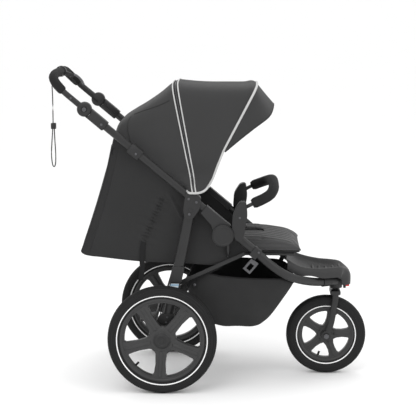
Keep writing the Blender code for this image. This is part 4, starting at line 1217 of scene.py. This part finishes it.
class STROLLER_OT_canopy(bpy.types.Operator):
    """Makes the canopy: rear, zipped and middle panels, the visor, its bows, piping and seams"""

    bl_idname = "stroller.canopy"
    bl_label = "Canopy"

    def execute(self, context):
        size = context.scene.stroller_fabric
        wall = size.cloth_thickness
        cloth = canopy_cloth()
        fold = dict(start=tuple(at(0.0641, 0.0, 0.7038)), end=tuple(at(0.1449, 0.0, 0.7532)))
        rear_rows = sheet_rows([hoop(*pair) for pair in REAR_HOOPS[:-1]] + [hoop(*FIRST_PIPING)], 7, 5)
        rear_rows = creased(rear_rows, 0.0062, (9.0, 4.0, 9.0), 3.1)
        rear = panel("canopy_rear", rear_rows, wall, cloth)
        for side, sign in SIDES:
            # The flap's seam: the ridge is real, and its darker cloth is painted shade of the flap's edge.
            seam(f"canopy_flap_seam_and_shade_{side}", rear, [
                (0.024, 1.062), (-0.008, 1.046), (-0.035, 1.036), (-0.070, 1.024), (-0.106, 1.010),
            ], 0.0016, sign, basket_cloth())
            seam(f"canopy_back_seam_{side}", rear, [
                (-0.116, 1.002), (-0.126, 0.985), (-0.127, 0.955), (-0.120, 0.925), (-0.112, 0.890),
            ], 0.0013, sign, basket_cloth())
            # Painted shade: a strip of dark cloth along the rear panel's low edge, just above the tube, stands for the
            # shadow gap between the tube and the cloth's edge.
            seam(f"canopy_low_shadow_band_{side}", rear, [
                (-0.150, 0.914), (-0.118, 0.890), (-0.084, 0.863), (-0.046, 0.832), (-0.004, 0.798), (0.040, 0.766),
            ], 0.0030, sign, basket_cloth())
        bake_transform(rear)
        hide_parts("canopy_rear_fabric")

        zip_rows = []
        for share, depth in ((0.0, 0.0), (0.2, -0.0012), (0.5, -0.0016), (0.8, -0.0012), (1.0, 0.0)):
            pair = [tuple(Vector(a).lerp(Vector(b), share)) for a, b in zip(FIRST_PIPING, SECOND_PIPING)]
            zip_rows.append(outward(smooth_path(hoop(*pair), 5), depth))
        zipped = panel("canopy_zip_panel", zip_rows, wall, basket_cloth())
        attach(zipped, "canopy_middle")
        teeth = tube("canopy_zip", outward(zip_rows[2], 0.0008), 0.0014, 2)
        settle(teeth, "canopy_middle", dark_steel(), (), 60.0)

        middle_rows = sheet_rows([hoop(*pair) for pair in MIDDLE_HOOPS], 8, 5)
        middle_rows = creased(middle_rows, 0.0060, (8.0, 4.0, 5.0), 8.4)
        opening = dict(start=tuple(at(0.060, 0.0, 0.7484)), end=tuple(at(0.172, 0.0, 0.7291)))
        front = panel("canopy_front_panel", middle_rows, wall, cloth)
        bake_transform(front)
        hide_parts("canopy_middle_fabric")

        edge, free = hoop(*MIDDLE_HOOPS[-1]), brim()
        hoops = []
        for share in (0.0, 0.3, 0.62, 1.0):
            hoops.append([a.lerp(b, share) for a, b in zip(edge, free)])
        visor_rows = creased(sheet_rows(hoops, 7, 5), 0.0016, (9.0, 5.0, 9.0), 1.7)
        visor = panel("canopy_visor_panel", visor_rows, wall, cloth)
        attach(visor, "canopy_front")
        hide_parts("canopy_visor")
        bound = tube("visor_binding", smooth_path(free, 4), 0.0021, 3)
        settle(bound, "canopy_front", basket_cloth(), (), 60.0)

        for name, row in (("piping_rear", zip_rows[0]), ("piping_zip", zip_rows[-1])):
            piping = tube(name, outward(row, 0.0014), size.piping_radius, 3)
            settle(piping, "canopy_middle", silver_piping(), (), 60.0)
        lows = [(0.086, 0.741), (0.098, 0.736), FIRST_PIPING[0], SECOND_PIPING[0]]
        lows += [pair[0] for pair in MIDDLE_HOOPS[1:]]
        side = []
        for x, z in lows:
            point = at(x, 0.0, z)
            point.y = -flared(point, 0.190)
            side.append(point)
        other = smooth_path([Vector((p.x, -p.y, p.z)) for p in side[::-1]], 5)
        border = smooth_path(side, 5)[:-1] + middle_rows[-1] + other[1:]
        piping = tube("piping_front", outward(border, 0.0016), size.piping_radius * 1.7, 3)
        apply_all(piping)
        piping.data.materials.append(silver_piping())
        bpy.ops.object.shade_smooth_by_angle(angle=radians(60.0))
        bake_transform(piping)

        for name, pair, body in (
            ("bow_rear", FIRST_PIPING, "canopy_middle"), ("bow_front", MIDDLE_HOOPS[-1], "canopy_front"),
        ):
            low = (0.121, 0.748) if body == "canopy_middle" else (0.206, 0.874)
            path = outward(smooth_path(hoop(low, pair[1], 0.1860), 4), -0.0062)
            if body == "canopy_front":
                arm = [at(0.138, -0.184, 0.756), at(0.172, -0.184, 0.812)]
                path = arm + path + [Vector((p.x, -p.y, p.z)) for p in arm[::-1]]
            node = "canopy_rear_bow" if body == "canopy_middle" else "canopy_front_bow"
            settle(tube(name, path, 0.0042, 4), body, moulded_black(), (node,), 60.0)
        return {"FINISHED"}


LOW_EDGE = (
    (-0.302, 0.507), (-0.290, 0.497), (-0.262, 0.491), (-0.229, 0.488), (-0.104, 0.474), (0.000, 0.469),
    (0.090, 0.466), (0.173, 0.461), (0.230, 0.471), (0.275, 0.492), (0.309, 0.511),
)


def along(path, share):
    """The point that far along a path of points, from 0 to 1."""
    share = min(max(share, 0.0), 1.0) * (len(path) - 1)
    k = min(int(share), len(path) - 2)
    return path[k].lerp(path[k + 1], share - k)


def evenly(path, count):
    """The path again, as points that lie equally far apart."""
    runs = [0.0]
    for a, b in zip(path, path[1:]):
        runs.append(runs[-1] + (a - b).length)
    made, k = [], 0
    for step in range(count):
        goal = runs[-1] * step / (count - 1)
        while k < len(path) - 2 and runs[k + 1] < goal:
            k += 1
        span = max(runs[k + 1] - runs[k], 1e-9)
        made.append(path[k].lerp(path[k + 1], (goal - runs[k]) / span))
    return made


def gathers(point):
    """Tight crinkles along the elastic, soft folds beside it and a slack fold under the tube."""
    x, z = point.x - AXLE, point.z
    top, bottom = Vector((0.012, 0.738)), Vector((-0.078, 0.532))
    line = bottom - top
    here = Vector((x, z)) - top
    share = here.dot(line) / line.length_squared
    if not 0.0 <= share <= 1.0:
        return 0.0
    beside = (here.x * line.y - here.y * line.x) / line.length
    fade = ease(share / 0.25) * ease((1 - share) / 0.1)
    wave = sin(share * line.length / 0.0125 * 2 * pi + 2.0 * noise.noise(Vector((x * 60, 0.0, z * 60))))
    tight = 0.0038 * wave * pow(2.718, -(beside / 0.013) ** 2)
    pull = 0.0022 * sin(share * line.length / 0.030 * 2 * pi) * pow(2.718, -(beside / 0.045) ** 2)
    return fade * (tight + pull) - 0.0030 * fade * pow(2.718, -(beside / 0.020) ** 2)


def side_folds(point):
    """How far a point of the seat's side stands out: the gathers, the soft folds and one deep fold at the top."""
    x, z = point.x - AXLE, point.z
    lift = gathers(point)
    tension = noise.noise(Vector((x * 16 + z * 5, 2.0, z * 3.5)))
    lift += 0.0048 * tension
    fold = (x - 0.015) * 0.86 + (z - 0.735) * 0.45
    if 0.60 < z < 0.74:
        lift -= 0.0050 * pow(2.718, -(fold / 0.006) ** 2) * ease((z - 0.60) / 0.04) * ease((0.74 - z) / 0.03)
    return lift


class STROLLER_OT_seat_walls(bpy.types.Operator):
    """Makes the cloth sides and the back of the seat, with their hems, elastic and straps"""

    bl_idname = "stroller.seat_walls"
    bl_label = "Seat walls"

    def execute(self, context):
        wall = context.scene.stroller_fabric.cloth_thickness
        low = evenly(smooth_path([at(x, 0.0, z) for x, z in LOW_EDGE], 8), 170)
        for side, sign in SIDES:
            y = sign * (SEAT_SIDE_Y + 0.0010)
            rows = []
            for r, foot in enumerate(low):
                share = r / (len(low) - 1)
                top = down_tube(0.138 + 0.512 * share, 0.0, 0.0)
                bow = 0.010 * (1 - ease(share / 0.35))
                row = []
                for k in range(96):
                    rise = k / 95
                    point = foot.lerp(top, rise)
                    point.x += bow * sin(pi * rise)
                    point.y = y + sign * 0.0022 * sin(pi * rise) * (1 - share * 0.5)
                    row.append(point)
                rows.append(row)
            rows = creased(rows, 0.0018, (11.0, 3.0, 6.0), 5.0 + sign, 4, side_folds)
            edge = 8
            obj = panel(
                f"seat_side_cloth_{side}", rows, wall * 1.4, seat_cloth(),
                basket_cloth(), lambda r, k: r < edge,
            )
            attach(obj, "upper_frame")
            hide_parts(f"seat_side_{side}")
            hem = [row[0] + Vector((0.0, sign * 0.0006, 0.0)) for row in rows]
            settle(tube(f"seat_hem_{side}", hem, 0.0022, 3), "upper_frame", basket_cloth(), (), 60.0)
            stitch = [rows[edge][k] + Vector((0.0, sign * 0.0012, 0.0)) for k in range(0, 96, 2)]
            settle(tube(f"seat_back_seam_{side}", stitch, 0.0011, 2), "upper_frame", seat_cloth(), (), 60.0)
            back = [row_point + Vector((0.0, sign * 0.0004, 0.0)) for row_point in rows[0]]
            settle(tube(f"seat_back_hem_{side}", back, 0.0024, 3), "upper_frame", basket_cloth(), (), 60.0)
            hang = smooth_path([
                at(-0.070, y + sign * 0.0046, 0.552), at(-0.076, y + sign * 0.0050, 0.520),
                at(-0.078, y + sign * 0.0054, 0.476), at(-0.078, y + sign * 0.0050, 0.440),
                at(-0.084, y + sign * 0.0046, 0.400),
            ], 6)
            tail = strap(f"elastic_tail_{side}", hang, 0.019, 0.0016, (1.0, 0.0, 0.0))
            settle(tail, "upper_frame", webbing(), (), 50.0)
            loop = smooth_path([
                at(-0.172, y + sign * 0.0015, 0.892), at(-0.182, y + sign * 0.0030, 0.884),
                at(-0.185, y + sign * 0.0030, 0.872), at(-0.179, y + sign * 0.0020, 0.865),
            ], 6)
            settle(tube(f"roll_up_loop_{side}", loop, 0.0016, 3), "upper_frame", webbing(), (), 60.0)
        rows = []
        for r in range(64):
            share = r / 63
            row = []
            for k in range(72):
                across = k / 71 * 2 - 1
                point = at(-0.186, 0.0, 0.900).lerp(at(-0.302, 0.0, 0.508), share)
                point.x -= 0.0085 * sin(pi * share) * (1 - across**4) - 0.0105 * sin(pi * share)
                point.y = across * (SEAT_SIDE_Y - 0.0008)
                row.append(point)
            rows.append(row)
        rows = creased(rows, 0.0050, (5.0, 9.0, 5.0), 2.2)
        back = panel("seat_back_cloth", rows, wall * 1.4, seat_cloth())
        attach(back, "upper_frame")
        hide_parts("seat_rear_panel")
        floor = []
        for foot in low[4:-34:5]:
            row = []
            for k in range(41):
                across = k / 20 - 1
                z = foot.z + 0.0012 - 0.004 * (1 - across**2)
                row.append(Vector((foot.x, across * (SEAT_SIDE_Y - 0.0010), z)))
            floor.append(row)
        under = panel("seat_floor_cloth", floor, wall, basket_cloth())
        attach(under, "upper_frame")
        return {"FINISHED"}


def plump(obj, voxel, cap, frames=20):
    """Blows a pad up with a short cloth simulation, and limits how far any point may move."""
    scene = bpy.context.scene
    only(obj)
    obj.data.remesh_voxel_size = voxel
    bpy.ops.object.voxel_remesh()
    start = [vertex.co.copy() for vertex in obj.data.vertices]
    inflate = obj.modifiers.new("inflate", "CLOTH")
    inflate.settings.use_pressure = True
    inflate.settings.uniform_pressure_force = 4.0
    inflate.settings.effector_weights.gravity = 0.0
    inflate.point_cache.frame_start = 1
    inflate.point_cache.frame_end = frames
    for frame in range(1, frames + 1):
        scene.frame_set(frame)
    bpy.ops.object.modifier_apply(modifier=inflate.name)
    scene.frame_set(1)
    for vertex, before in zip(obj.data.vertices, start):
        move = vertex.co - before
        if move.length > cap:
            vertex.co = before + move * (cap / move.length)
    finer = obj.modifiers.new("finer", "SUBSURF")
    finer.levels = finer.render_levels = 1
    bpy.ops.object.modifier_apply(modifier=finer.name)
    return obj


def grooves(obj, pitch, depth, width, low=-1.0, high=1.0):
    """Sews channels along X into the upper faces of a pad."""
    obj.data.update()
    normals = [vertex.normal.copy() for vertex in obj.data.vertices]
    for vertex, normal in zip(obj.data.vertices, normals):
        if low < vertex.co.x - AXLE < high and (normal.z > 0.15 or normal.x > 0.45):
            beside = (vertex.co.y + pitch / 2) % pitch - pitch / 2
            vertex.co -= normal * depth * pow(2.718, -(beside / width) ** 2)
        elif abs(normal.y) > 0.6 and low < vertex.co.x - AXLE < high:
            beside = (vertex.co.z + 0.006) % 0.017 - 0.0085
            vertex.co -= normal * depth * 0.6 * pow(2.718, -(beside / width) ** 2)
    return obj


def cushion(name, outline, width, body, finish, cap, node):
    """A pad from its side outline, blown up and sewn with channels."""
    obj = slab(name, rounded(outline, 0.005), width, 0.0, 0.004)
    plump(obj, 0.0058, cap)
    grooves(obj, bpy.context.scene.stroller_fabric.channel_pitch, 0.0034, 0.0042)
    settle(obj, body, finish, (node,), 70.0)
    return obj


class STROLLER_OT_seat_pads(bpy.types.Operator):
    """Makes the quilted seat and backrest pads, and the board behind the backrest"""

    bl_idname = "stroller.seat_pads"
    bl_label = "Seat pads"

    def execute(self, context):
        seat = [
            (0.250, 0.504), (0.249, 0.547), (0.300, 0.551), (0.350, 0.551), (0.404, 0.544), (0.450, 0.537),
            (0.484, 0.527), (0.506, 0.515), (0.513, 0.504),
        ]
        seat = [(x + AXLE, z) for x, z in seat]
        cushion("seat_pad", seat, 0.322, "upper_frame", pad_cloth(), 0.0070, "seat_cushion")
        hem = []
        for sign in (-1, 1):
            places = ((0.256, 0.5010), (0.36, 0.5005), (0.46, 0.5010), (0.500, 0.5040))
            hem.append([at(x, sign * 0.1550, z) for x, z in places])
        hem = smooth_path(hem[0], 6) + smooth_path(hem[1][::-1], 6)
        settle(tube("seat_pad_hem", hem, 0.0030, 3), "upper_frame", basket_cloth(), (), 60.0)
        board = softened("backrest_board", 0.0020)
        settle(board, "backrest", basket_cloth(), ("backrest_board",), 40.0)
        rear, front = -0.254 + AXLE, 0.174 + AXLE
        outline = rounded([(rear, 0.5010), (rear, 0.5145), (front, 0.5145), (front, 0.5010)], 0.006)
        back = slab("backrest_cushion", outline, 0.324, 0.0, 0.004)
        plump(back, 0.0055, 0.0045)
        grooves(back, context.scene.stroller_fabric.channel_pitch, 0.0030, 0.0042)
        pivot = Vector((-0.040 + AXLE, 0.0, 0.5075))
        slope = (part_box("backrest_board")[1][2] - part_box("backrest_board")[0][2] - 0.008) / 0.470
        turn = Matrix.Rotation(slope, 3, "Y")
        for vertex in back.data.vertices:
            vertex.co = pivot + turn @ (vertex.co - pivot)
        settle(back, "backrest", pad_cloth(), ("backrest_pad",), 70.0)
        return {"FINISHED"}


class STROLLER_OT_harness(bpy.types.Operator):
    """Makes the harness: shoulder straps with their pads, the crotch strap and the buckle"""

    bl_idname = "stroller.harness"
    bl_label = "Harness"

    def execute(self, context):
        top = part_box("backrest_pad")[1][2]
        slope = (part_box("backrest_board")[1][2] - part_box("backrest_board")[0][2] - 0.008) / 0.470

        def over_back(x, y, rise):
            return at(x, y, 0.5175 + 0.0070 + rise - (x + 0.040) * slope)

        for side, sign in SIDES:
            y = sign * 0.058
            path = smooth_path([
                over_back(-0.205, y, -0.006), over_back(-0.190, y, 0.0010), over_back(-0.10, y, 0.0014),
                over_back(0.00, y * 0.96, 0.0014), over_back(0.09, y * 0.85, 0.0014),
                over_back(0.150, y * 0.62, 0.0020),
            ], 6)
            settle(strap(f"shoulder_strap_{side}", path, 0.025, 0.0016), "backrest", webbing(), (), 50.0)
            outline = [(x + AXLE, z) for x, z in ((-0.115, 0.0), (-0.115, 0.010), (0.035, 0.010), (0.035, 0.0))]
            pad = slab(f"shoulder_pad_{side}", rounded(outline, 0.004), 0.046, y, 0.0038)
            for vertex in pad.data.vertices:
                vertex.co.z += over_back(vertex.co.x - AXLE, y, 0.0022).z
            settle(pad, "backrest", pad_cloth(), (), 60.0)
            outline = [(x + AXLE, z) for x, z in ((0.146, 0.0), (0.146, 0.006), (0.178, 0.006), (0.178, 0.0))]
            tongue = slab(f"harness_tongue_{side}", rounded(outline, 0.002), 0.026, y * 0.60, 0.0018)
            for vertex in tongue.data.vertices:
                vertex.co.z += over_back(vertex.co.x - AXLE, y, -0.0004).z
            settle(tongue, "backrest", moulded_black(), (), 40.0)
        path = smooth_path([
            at(0.372, 0.0, 0.5500), at(0.368, 0.0, 0.5600), at(0.345, 0.0, 0.5640), at(0.310, 0.0, 0.5650),
            at(0.288, 0.0, 0.5660),
        ], 6)
        settle(strap("crotch_strap", path, 0.030, 0.0018), "upper_frame", webbing(), (), 50.0)
        buckle = block("harness_buckle", (0.050, 0.046, 0.015), at(0.282, 0.0, 0.5720), 0.0, 0.0058, 4)
        button = block("harness_button", (0.022, 0.022, 0.004), at(0.282, 0.0, 0.5798), 0.0, 0.0018, 3)
        settle(joined("harness_buckle", [buckle, button]), "upper_frame", moulded_black(), (), 40.0)
        return {"FINISHED"}


class STROLLER_OT_basket(bpy.types.Operator):
    """Makes the cloth basket, a sagging shell with a bound rim and the straps that it hangs from"""

    bl_idname = "stroller.basket"
    bl_label = "Basket"

    def execute(self, context):
        wall = context.scene.stroller_fabric.cloth_thickness
        places = (
            (0.088, 0.374), (0.108, 0.400), (0.138, 0.425), (0.200, 0.415), (0.274, 0.409), (0.360, 0.406),
            (0.436, 0.403), (0.484, 0.382),
        )
        rim_line = evenly(smooth_path([Vector((x, 0.0, z)) for x, z in places], 6), 61)
        levels = (
            (0.0, (0.088, 0.374), (0.484, 0.382), 0.1900), (0.25, (0.092, 0.340), (0.460, 0.348), 0.1925),
            (0.5, (0.099, 0.300), (0.432, 0.308), 0.1925), (0.72, (0.106, 0.268), (0.406, 0.272), 0.1925),
            (0.88, (0.122, 0.250), (0.390, 0.252), 0.1905), (0.95, (0.150, 0.236), (0.374, 0.238), 0.1860),
            (1.0, (0.200, 0.2265), (0.358, 0.2285), 0.1780),
        )
        rings = []
        for level, rear, front, half in levels:
            ring = []
            rear, front = Vector((rear[0], rear[1])), Vector((front[0], front[1]))
            for step in range(96):
                angle = 2 * pi * step / 96
                c, s = cos(angle), sin(angle)
                forward = 0.5 - 0.5 * (abs(c) ** 0.42) * (1 if c > 0 else -1)
                y = -half * (abs(s) ** 0.24) * (1 if s > 0 else -1)
                base = rear.lerp(front, forward)
                z = base.y + (along(rim_line, forward).z - (0.374 + 0.008 * forward)) * (1 - level)
                z -= 0.0030 * sin(pi * forward) * level
                ring.append(at(base.x, y, z))
            rings.append(ring + [ring[0].copy()])
        floor_centre = at(0.278, 0.0, 0.2190)
        for share in (0.75, 0.5, 0.25, 0.02):
            rings.append([floor_centre.lerp(p, share) for p in rings[len(levels) - 1]])
        rows = blended_rows(rings, 5)
        rows = [smooth_path(row[:-1] + [row[0]], 2) for row in rows]

        def sag(point):
            x, z = point.x - AXLE, point.z
            drape = 0.0045 * noise.noise(Vector((x * 13, point.y * 12, z * 4 + 7)))
            return drape - 0.0028 * sin(pi * min(1.0, max(0.0, (z - 0.23) / 0.18)))

        rows = creased(rows, 0.0012, (18.0, 18.0, 18.0), 4.0, 3, sag)
        for row in rows:
            row[-1] = row[0].copy()
        obj = panel("basket_shell", rows, wall * 1.3, basket_cloth())
        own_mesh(obj)
        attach(obj, "upper_frame")
        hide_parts("basket")
        binding = tube("basket_binding", rows[0][:-1], 0.0028, 3, cyclic=True)
        settle(binding, "upper_frame", webbing(), (), 60.0)
        for side, sign in SIDES:
            inner = smooth_path([
                at(0.088, sign * 0.1880, 0.376), at(0.112, sign * 0.1905, 0.405), at(0.160, sign * 0.1910, 0.430),
                at(0.200, sign * 0.1910, 0.450), at(0.222, sign * 0.1900, 0.470),
            ], 6)
            hanger = strap(f"basket_hanger_{side}", inner, 0.016, 0.0018, (-0.4, 0.0, 0.9))
            settle(hanger, "upper_frame", webbing(), (), 50.0)
            front = smooth_path([
                at(0.440, sign * 0.1800, 0.398), at(0.446, sign * 0.1820, 0.410), at(0.452, sign * 0.1870, 0.422),
            ], 4)
            tie = strap(f"basket_tie_{side}", front, 0.018, 0.0018, (0.9, 0.0, -0.4))
            settle(tie, "upper_frame", webbing(), (), 50.0)
            snap_y = sign * 0.1945
            rivet(f"basket_snap_{side}", at(0.115, snap_y, 0.384), 0.0052, sign, "upper_frame", 0.0018)
        return {"FINISHED"}


# ---------------------------------------------------------------- stage

class STROLLER_OT_stage(bpy.types.Operator):
    """Makes the floor, the soft lights and the camera"""

    bl_idname = "stroller.stage"
    bl_label = "Floor, light and camera"

    def execute(self, context):
        size = context.scene.stroller_stage
        bpy.ops.object.select_all(action="DESELECT")
        bpy.ops.mesh.primitive_grid_add(x_subdivisions=8, y_subdivisions=8, size=size.floor_size)
        floor = context.active_object
        floor.name = "floor"
        floor.data.materials.append(pale_floor())
        world = bpy.data.worlds.new("studio")
        world.use_nodes = True
        world.node_tree.nodes["Background"].inputs["Color"].default_value = (1.0, 1.0, 1.0, 1.0)
        world.node_tree.nodes["Background"].inputs["Strength"].default_value = size.world_strength
        context.scene.world = world
        for name, place, aim, width, power in (
            ("key_light", (-1.2, -2.6, 3.0), (0.0, 0.0, 0.5), 2.2, size.key_power),
            ("fill_light", (2.6, -1.8, 1.8), (0.1, 0.0, 0.5), 2.0, size.key_power * 0.45),
            ("top_light", (0.2, 0.5, 3.4), (0.0, 0.0, 0.5), 2.6, size.key_power * 0.6),
        ):
            data = bpy.data.lights.new(name, "AREA")
            data.size = width
            data.energy = power
            lamp = bpy.data.objects.new(name, data)
            context.collection.objects.link(lamp)
            lamp.location = place
            lamp.rotation_euler = (Vector(aim) - Vector(place)).to_track_quat("-Z", "Y").to_euler()
        data = bpy.data.cameras.new("camera")
        data.lens = size.lens
        data.sensor_width = 36.0
        data.clip_end = 2000.0
        camera = bpy.data.objects.new("camera", data)
        context.collection.objects.link(camera)
        camera.location = (0.1210, -4.9732, 1.4449)
        turn, drop = -0.0272, 0.1605
        forward = Vector((sin(turn) * cos(drop), cos(turn) * cos(drop), -sin(drop)))
        camera.rotation_euler = forward.to_track_quat("-Z", "Y").to_euler()
        context.scene.camera = camera
        context.scene.view_settings.view_transform = "Standard"
        return {"FINISHED"}


# ---------------------------------------------------------------- settings

def colour_setting(name, description, default):
    """A colour that the sidebar shows."""
    return FloatVectorProperty(
        name=name, description=description, default=default, subtype="COLOR", size=3, min=0.0, max=1.0,
    )


class StrollerWheels(bpy.types.PropertyGroup):
    tread_depth: FloatProperty(
        name="Tread depth", description="How far the tread blocks stand up", default=0.0026, unit="LENGTH")
    ring_width: FloatProperty(
        name="Ring width", description="Width of the pale ring on a tyre's side wall", default=0.0036, unit="LENGTH")


class StrollerFinish(bpy.types.PropertyGroup):
    frame_colour: colour_setting("Frame colour", "Powder coat of the tubes", (0.0090, 0.0090, 0.0093))
    plastic_colour: colour_setting("Plastic colour", "Moulded hubs, clips and joints", (0.0150, 0.0150, 0.0154))
    tray_colour: colour_setting("Footrest colour", "Moulded footrest", (0.0260, 0.0260, 0.0264))
    rim_colour: colour_setting("Wheel colour", "Moulded wheels", (0.0280, 0.0280, 0.0284))
    tyre_colour: colour_setting("Tyre colour", "Rubber of the tyres", (0.0120, 0.0120, 0.0123))
    band_colour: colour_setting("Ring colour", "Pale ring on the tyres", (0.85, 0.85, 0.85))
    foam_colour: colour_setting("Foam colour", "Foam on the handle and the bumper bar", (0.0120, 0.0120, 0.0123))
    cloth_colour: colour_setting("Canopy colour", "Cloth of the canopy", (0.0340, 0.0340, 0.0344))
    seat_colour: colour_setting("Seat colour", "Cloth of the seat walls and the basket", (0.0245, 0.0245, 0.0248))
    pad_colour: colour_setting("Pad colour", "Quilted pads", (0.0560, 0.0560, 0.0566))
    piping_colour: colour_setting("Piping colour", "Piping of the canopy", (0.46, 0.46, 0.455))


class StrollerFabric(bpy.types.PropertyGroup):
    cloth_thickness: FloatProperty(
        name="Cloth thickness", description="Thickness of the canopy cloth", default=0.0014, unit="LENGTH")
    piping_radius: FloatProperty(
        name="Piping radius", description="Radius of the canopy's piping", default=0.0026, unit="LENGTH")
    channel_pitch: FloatProperty(
        name="Channel pitch", description="Distance between the sewn channels of the pads", default=0.036, unit="LENGTH")


class StrollerStage(bpy.types.PropertyGroup):
    floor_size: FloatProperty(name="Floor size", description="Width of the floor", default=1200.0, unit="LENGTH")
    floor_colour: colour_setting("Floor colour", "Colour of the floor", (0.95, 0.95, 0.95))
    world_strength: FloatProperty(name="World strength", description="Light from all round", default=1.05, min=0.0)
    key_power: FloatProperty(name="Key power", description="Power of the main light, in watts", default=34.0, min=0.0)
    lens: FloatProperty(name="Lens", description="Focal length of the camera, in millimetres", default=114.8, min=1.0)


OPERATORS = (
    STROLLER_OT_stage, STROLLER_OT_wrist_strap, STROLLER_OT_wheels, STROLLER_OT_tubes,
    STROLLER_OT_mouldings, STROLLER_OT_fork, STROLLER_OT_footrest, STROLLER_OT_handle, STROLLER_OT_cables, STROLLER_OT_bumper, STROLLER_OT_canopy,
    STROLLER_OT_seat_walls, STROLLER_OT_seat_pads, STROLLER_OT_harness, STROLLER_OT_basket,
)
GROUPS = (
    ("stroller_wheels", StrollerWheels), ("stroller_finish", StrollerFinish), ("stroller_fabric", StrollerFabric),
    ("stroller_stage", StrollerStage),
)


class STROLLER_PT_sidebar(bpy.types.Panel):
    """Lists the stroller's pieces and their settings"""

    bl_label = "Stroller"
    bl_idname = "STROLLER_PT_sidebar"
    bl_space_type = "VIEW_3D"
    bl_region_type = "UI"
    bl_category = "Stroller"

    def draw(self, context):
        for operator in OPERATORS:
            self.layout.operator(operator.bl_idname)
        for attribute, group in GROUPS:
            box = self.layout.box()
            for key in group.__annotations__:
                box.prop(getattr(context.scene, attribute), key)


def register():
    for attribute, group in GROUPS:
        bpy.utils.register_class(group)
        setattr(bpy.types.Scene, attribute, PointerProperty(type=group))
    for operator in OPERATORS:
        bpy.utils.register_class(operator)
    bpy.utils.register_class(STROLLER_PT_sidebar)


def unregister():
    bpy.utils.unregister_class(STROLLER_PT_sidebar)
    for operator in reversed(OPERATORS):
        bpy.utils.unregister_class(operator)
    for attribute, group in reversed(GROUPS):
        delattr(bpy.types.Scene, attribute)
        bpy.utils.unregister_class(group)


def main():
    register()
    for operator in OPERATORS:
        package, name = operator.bl_idname.split(".")
        getattr(getattr(bpy.ops, package), name)()


if __name__ == "__main__":
    main()
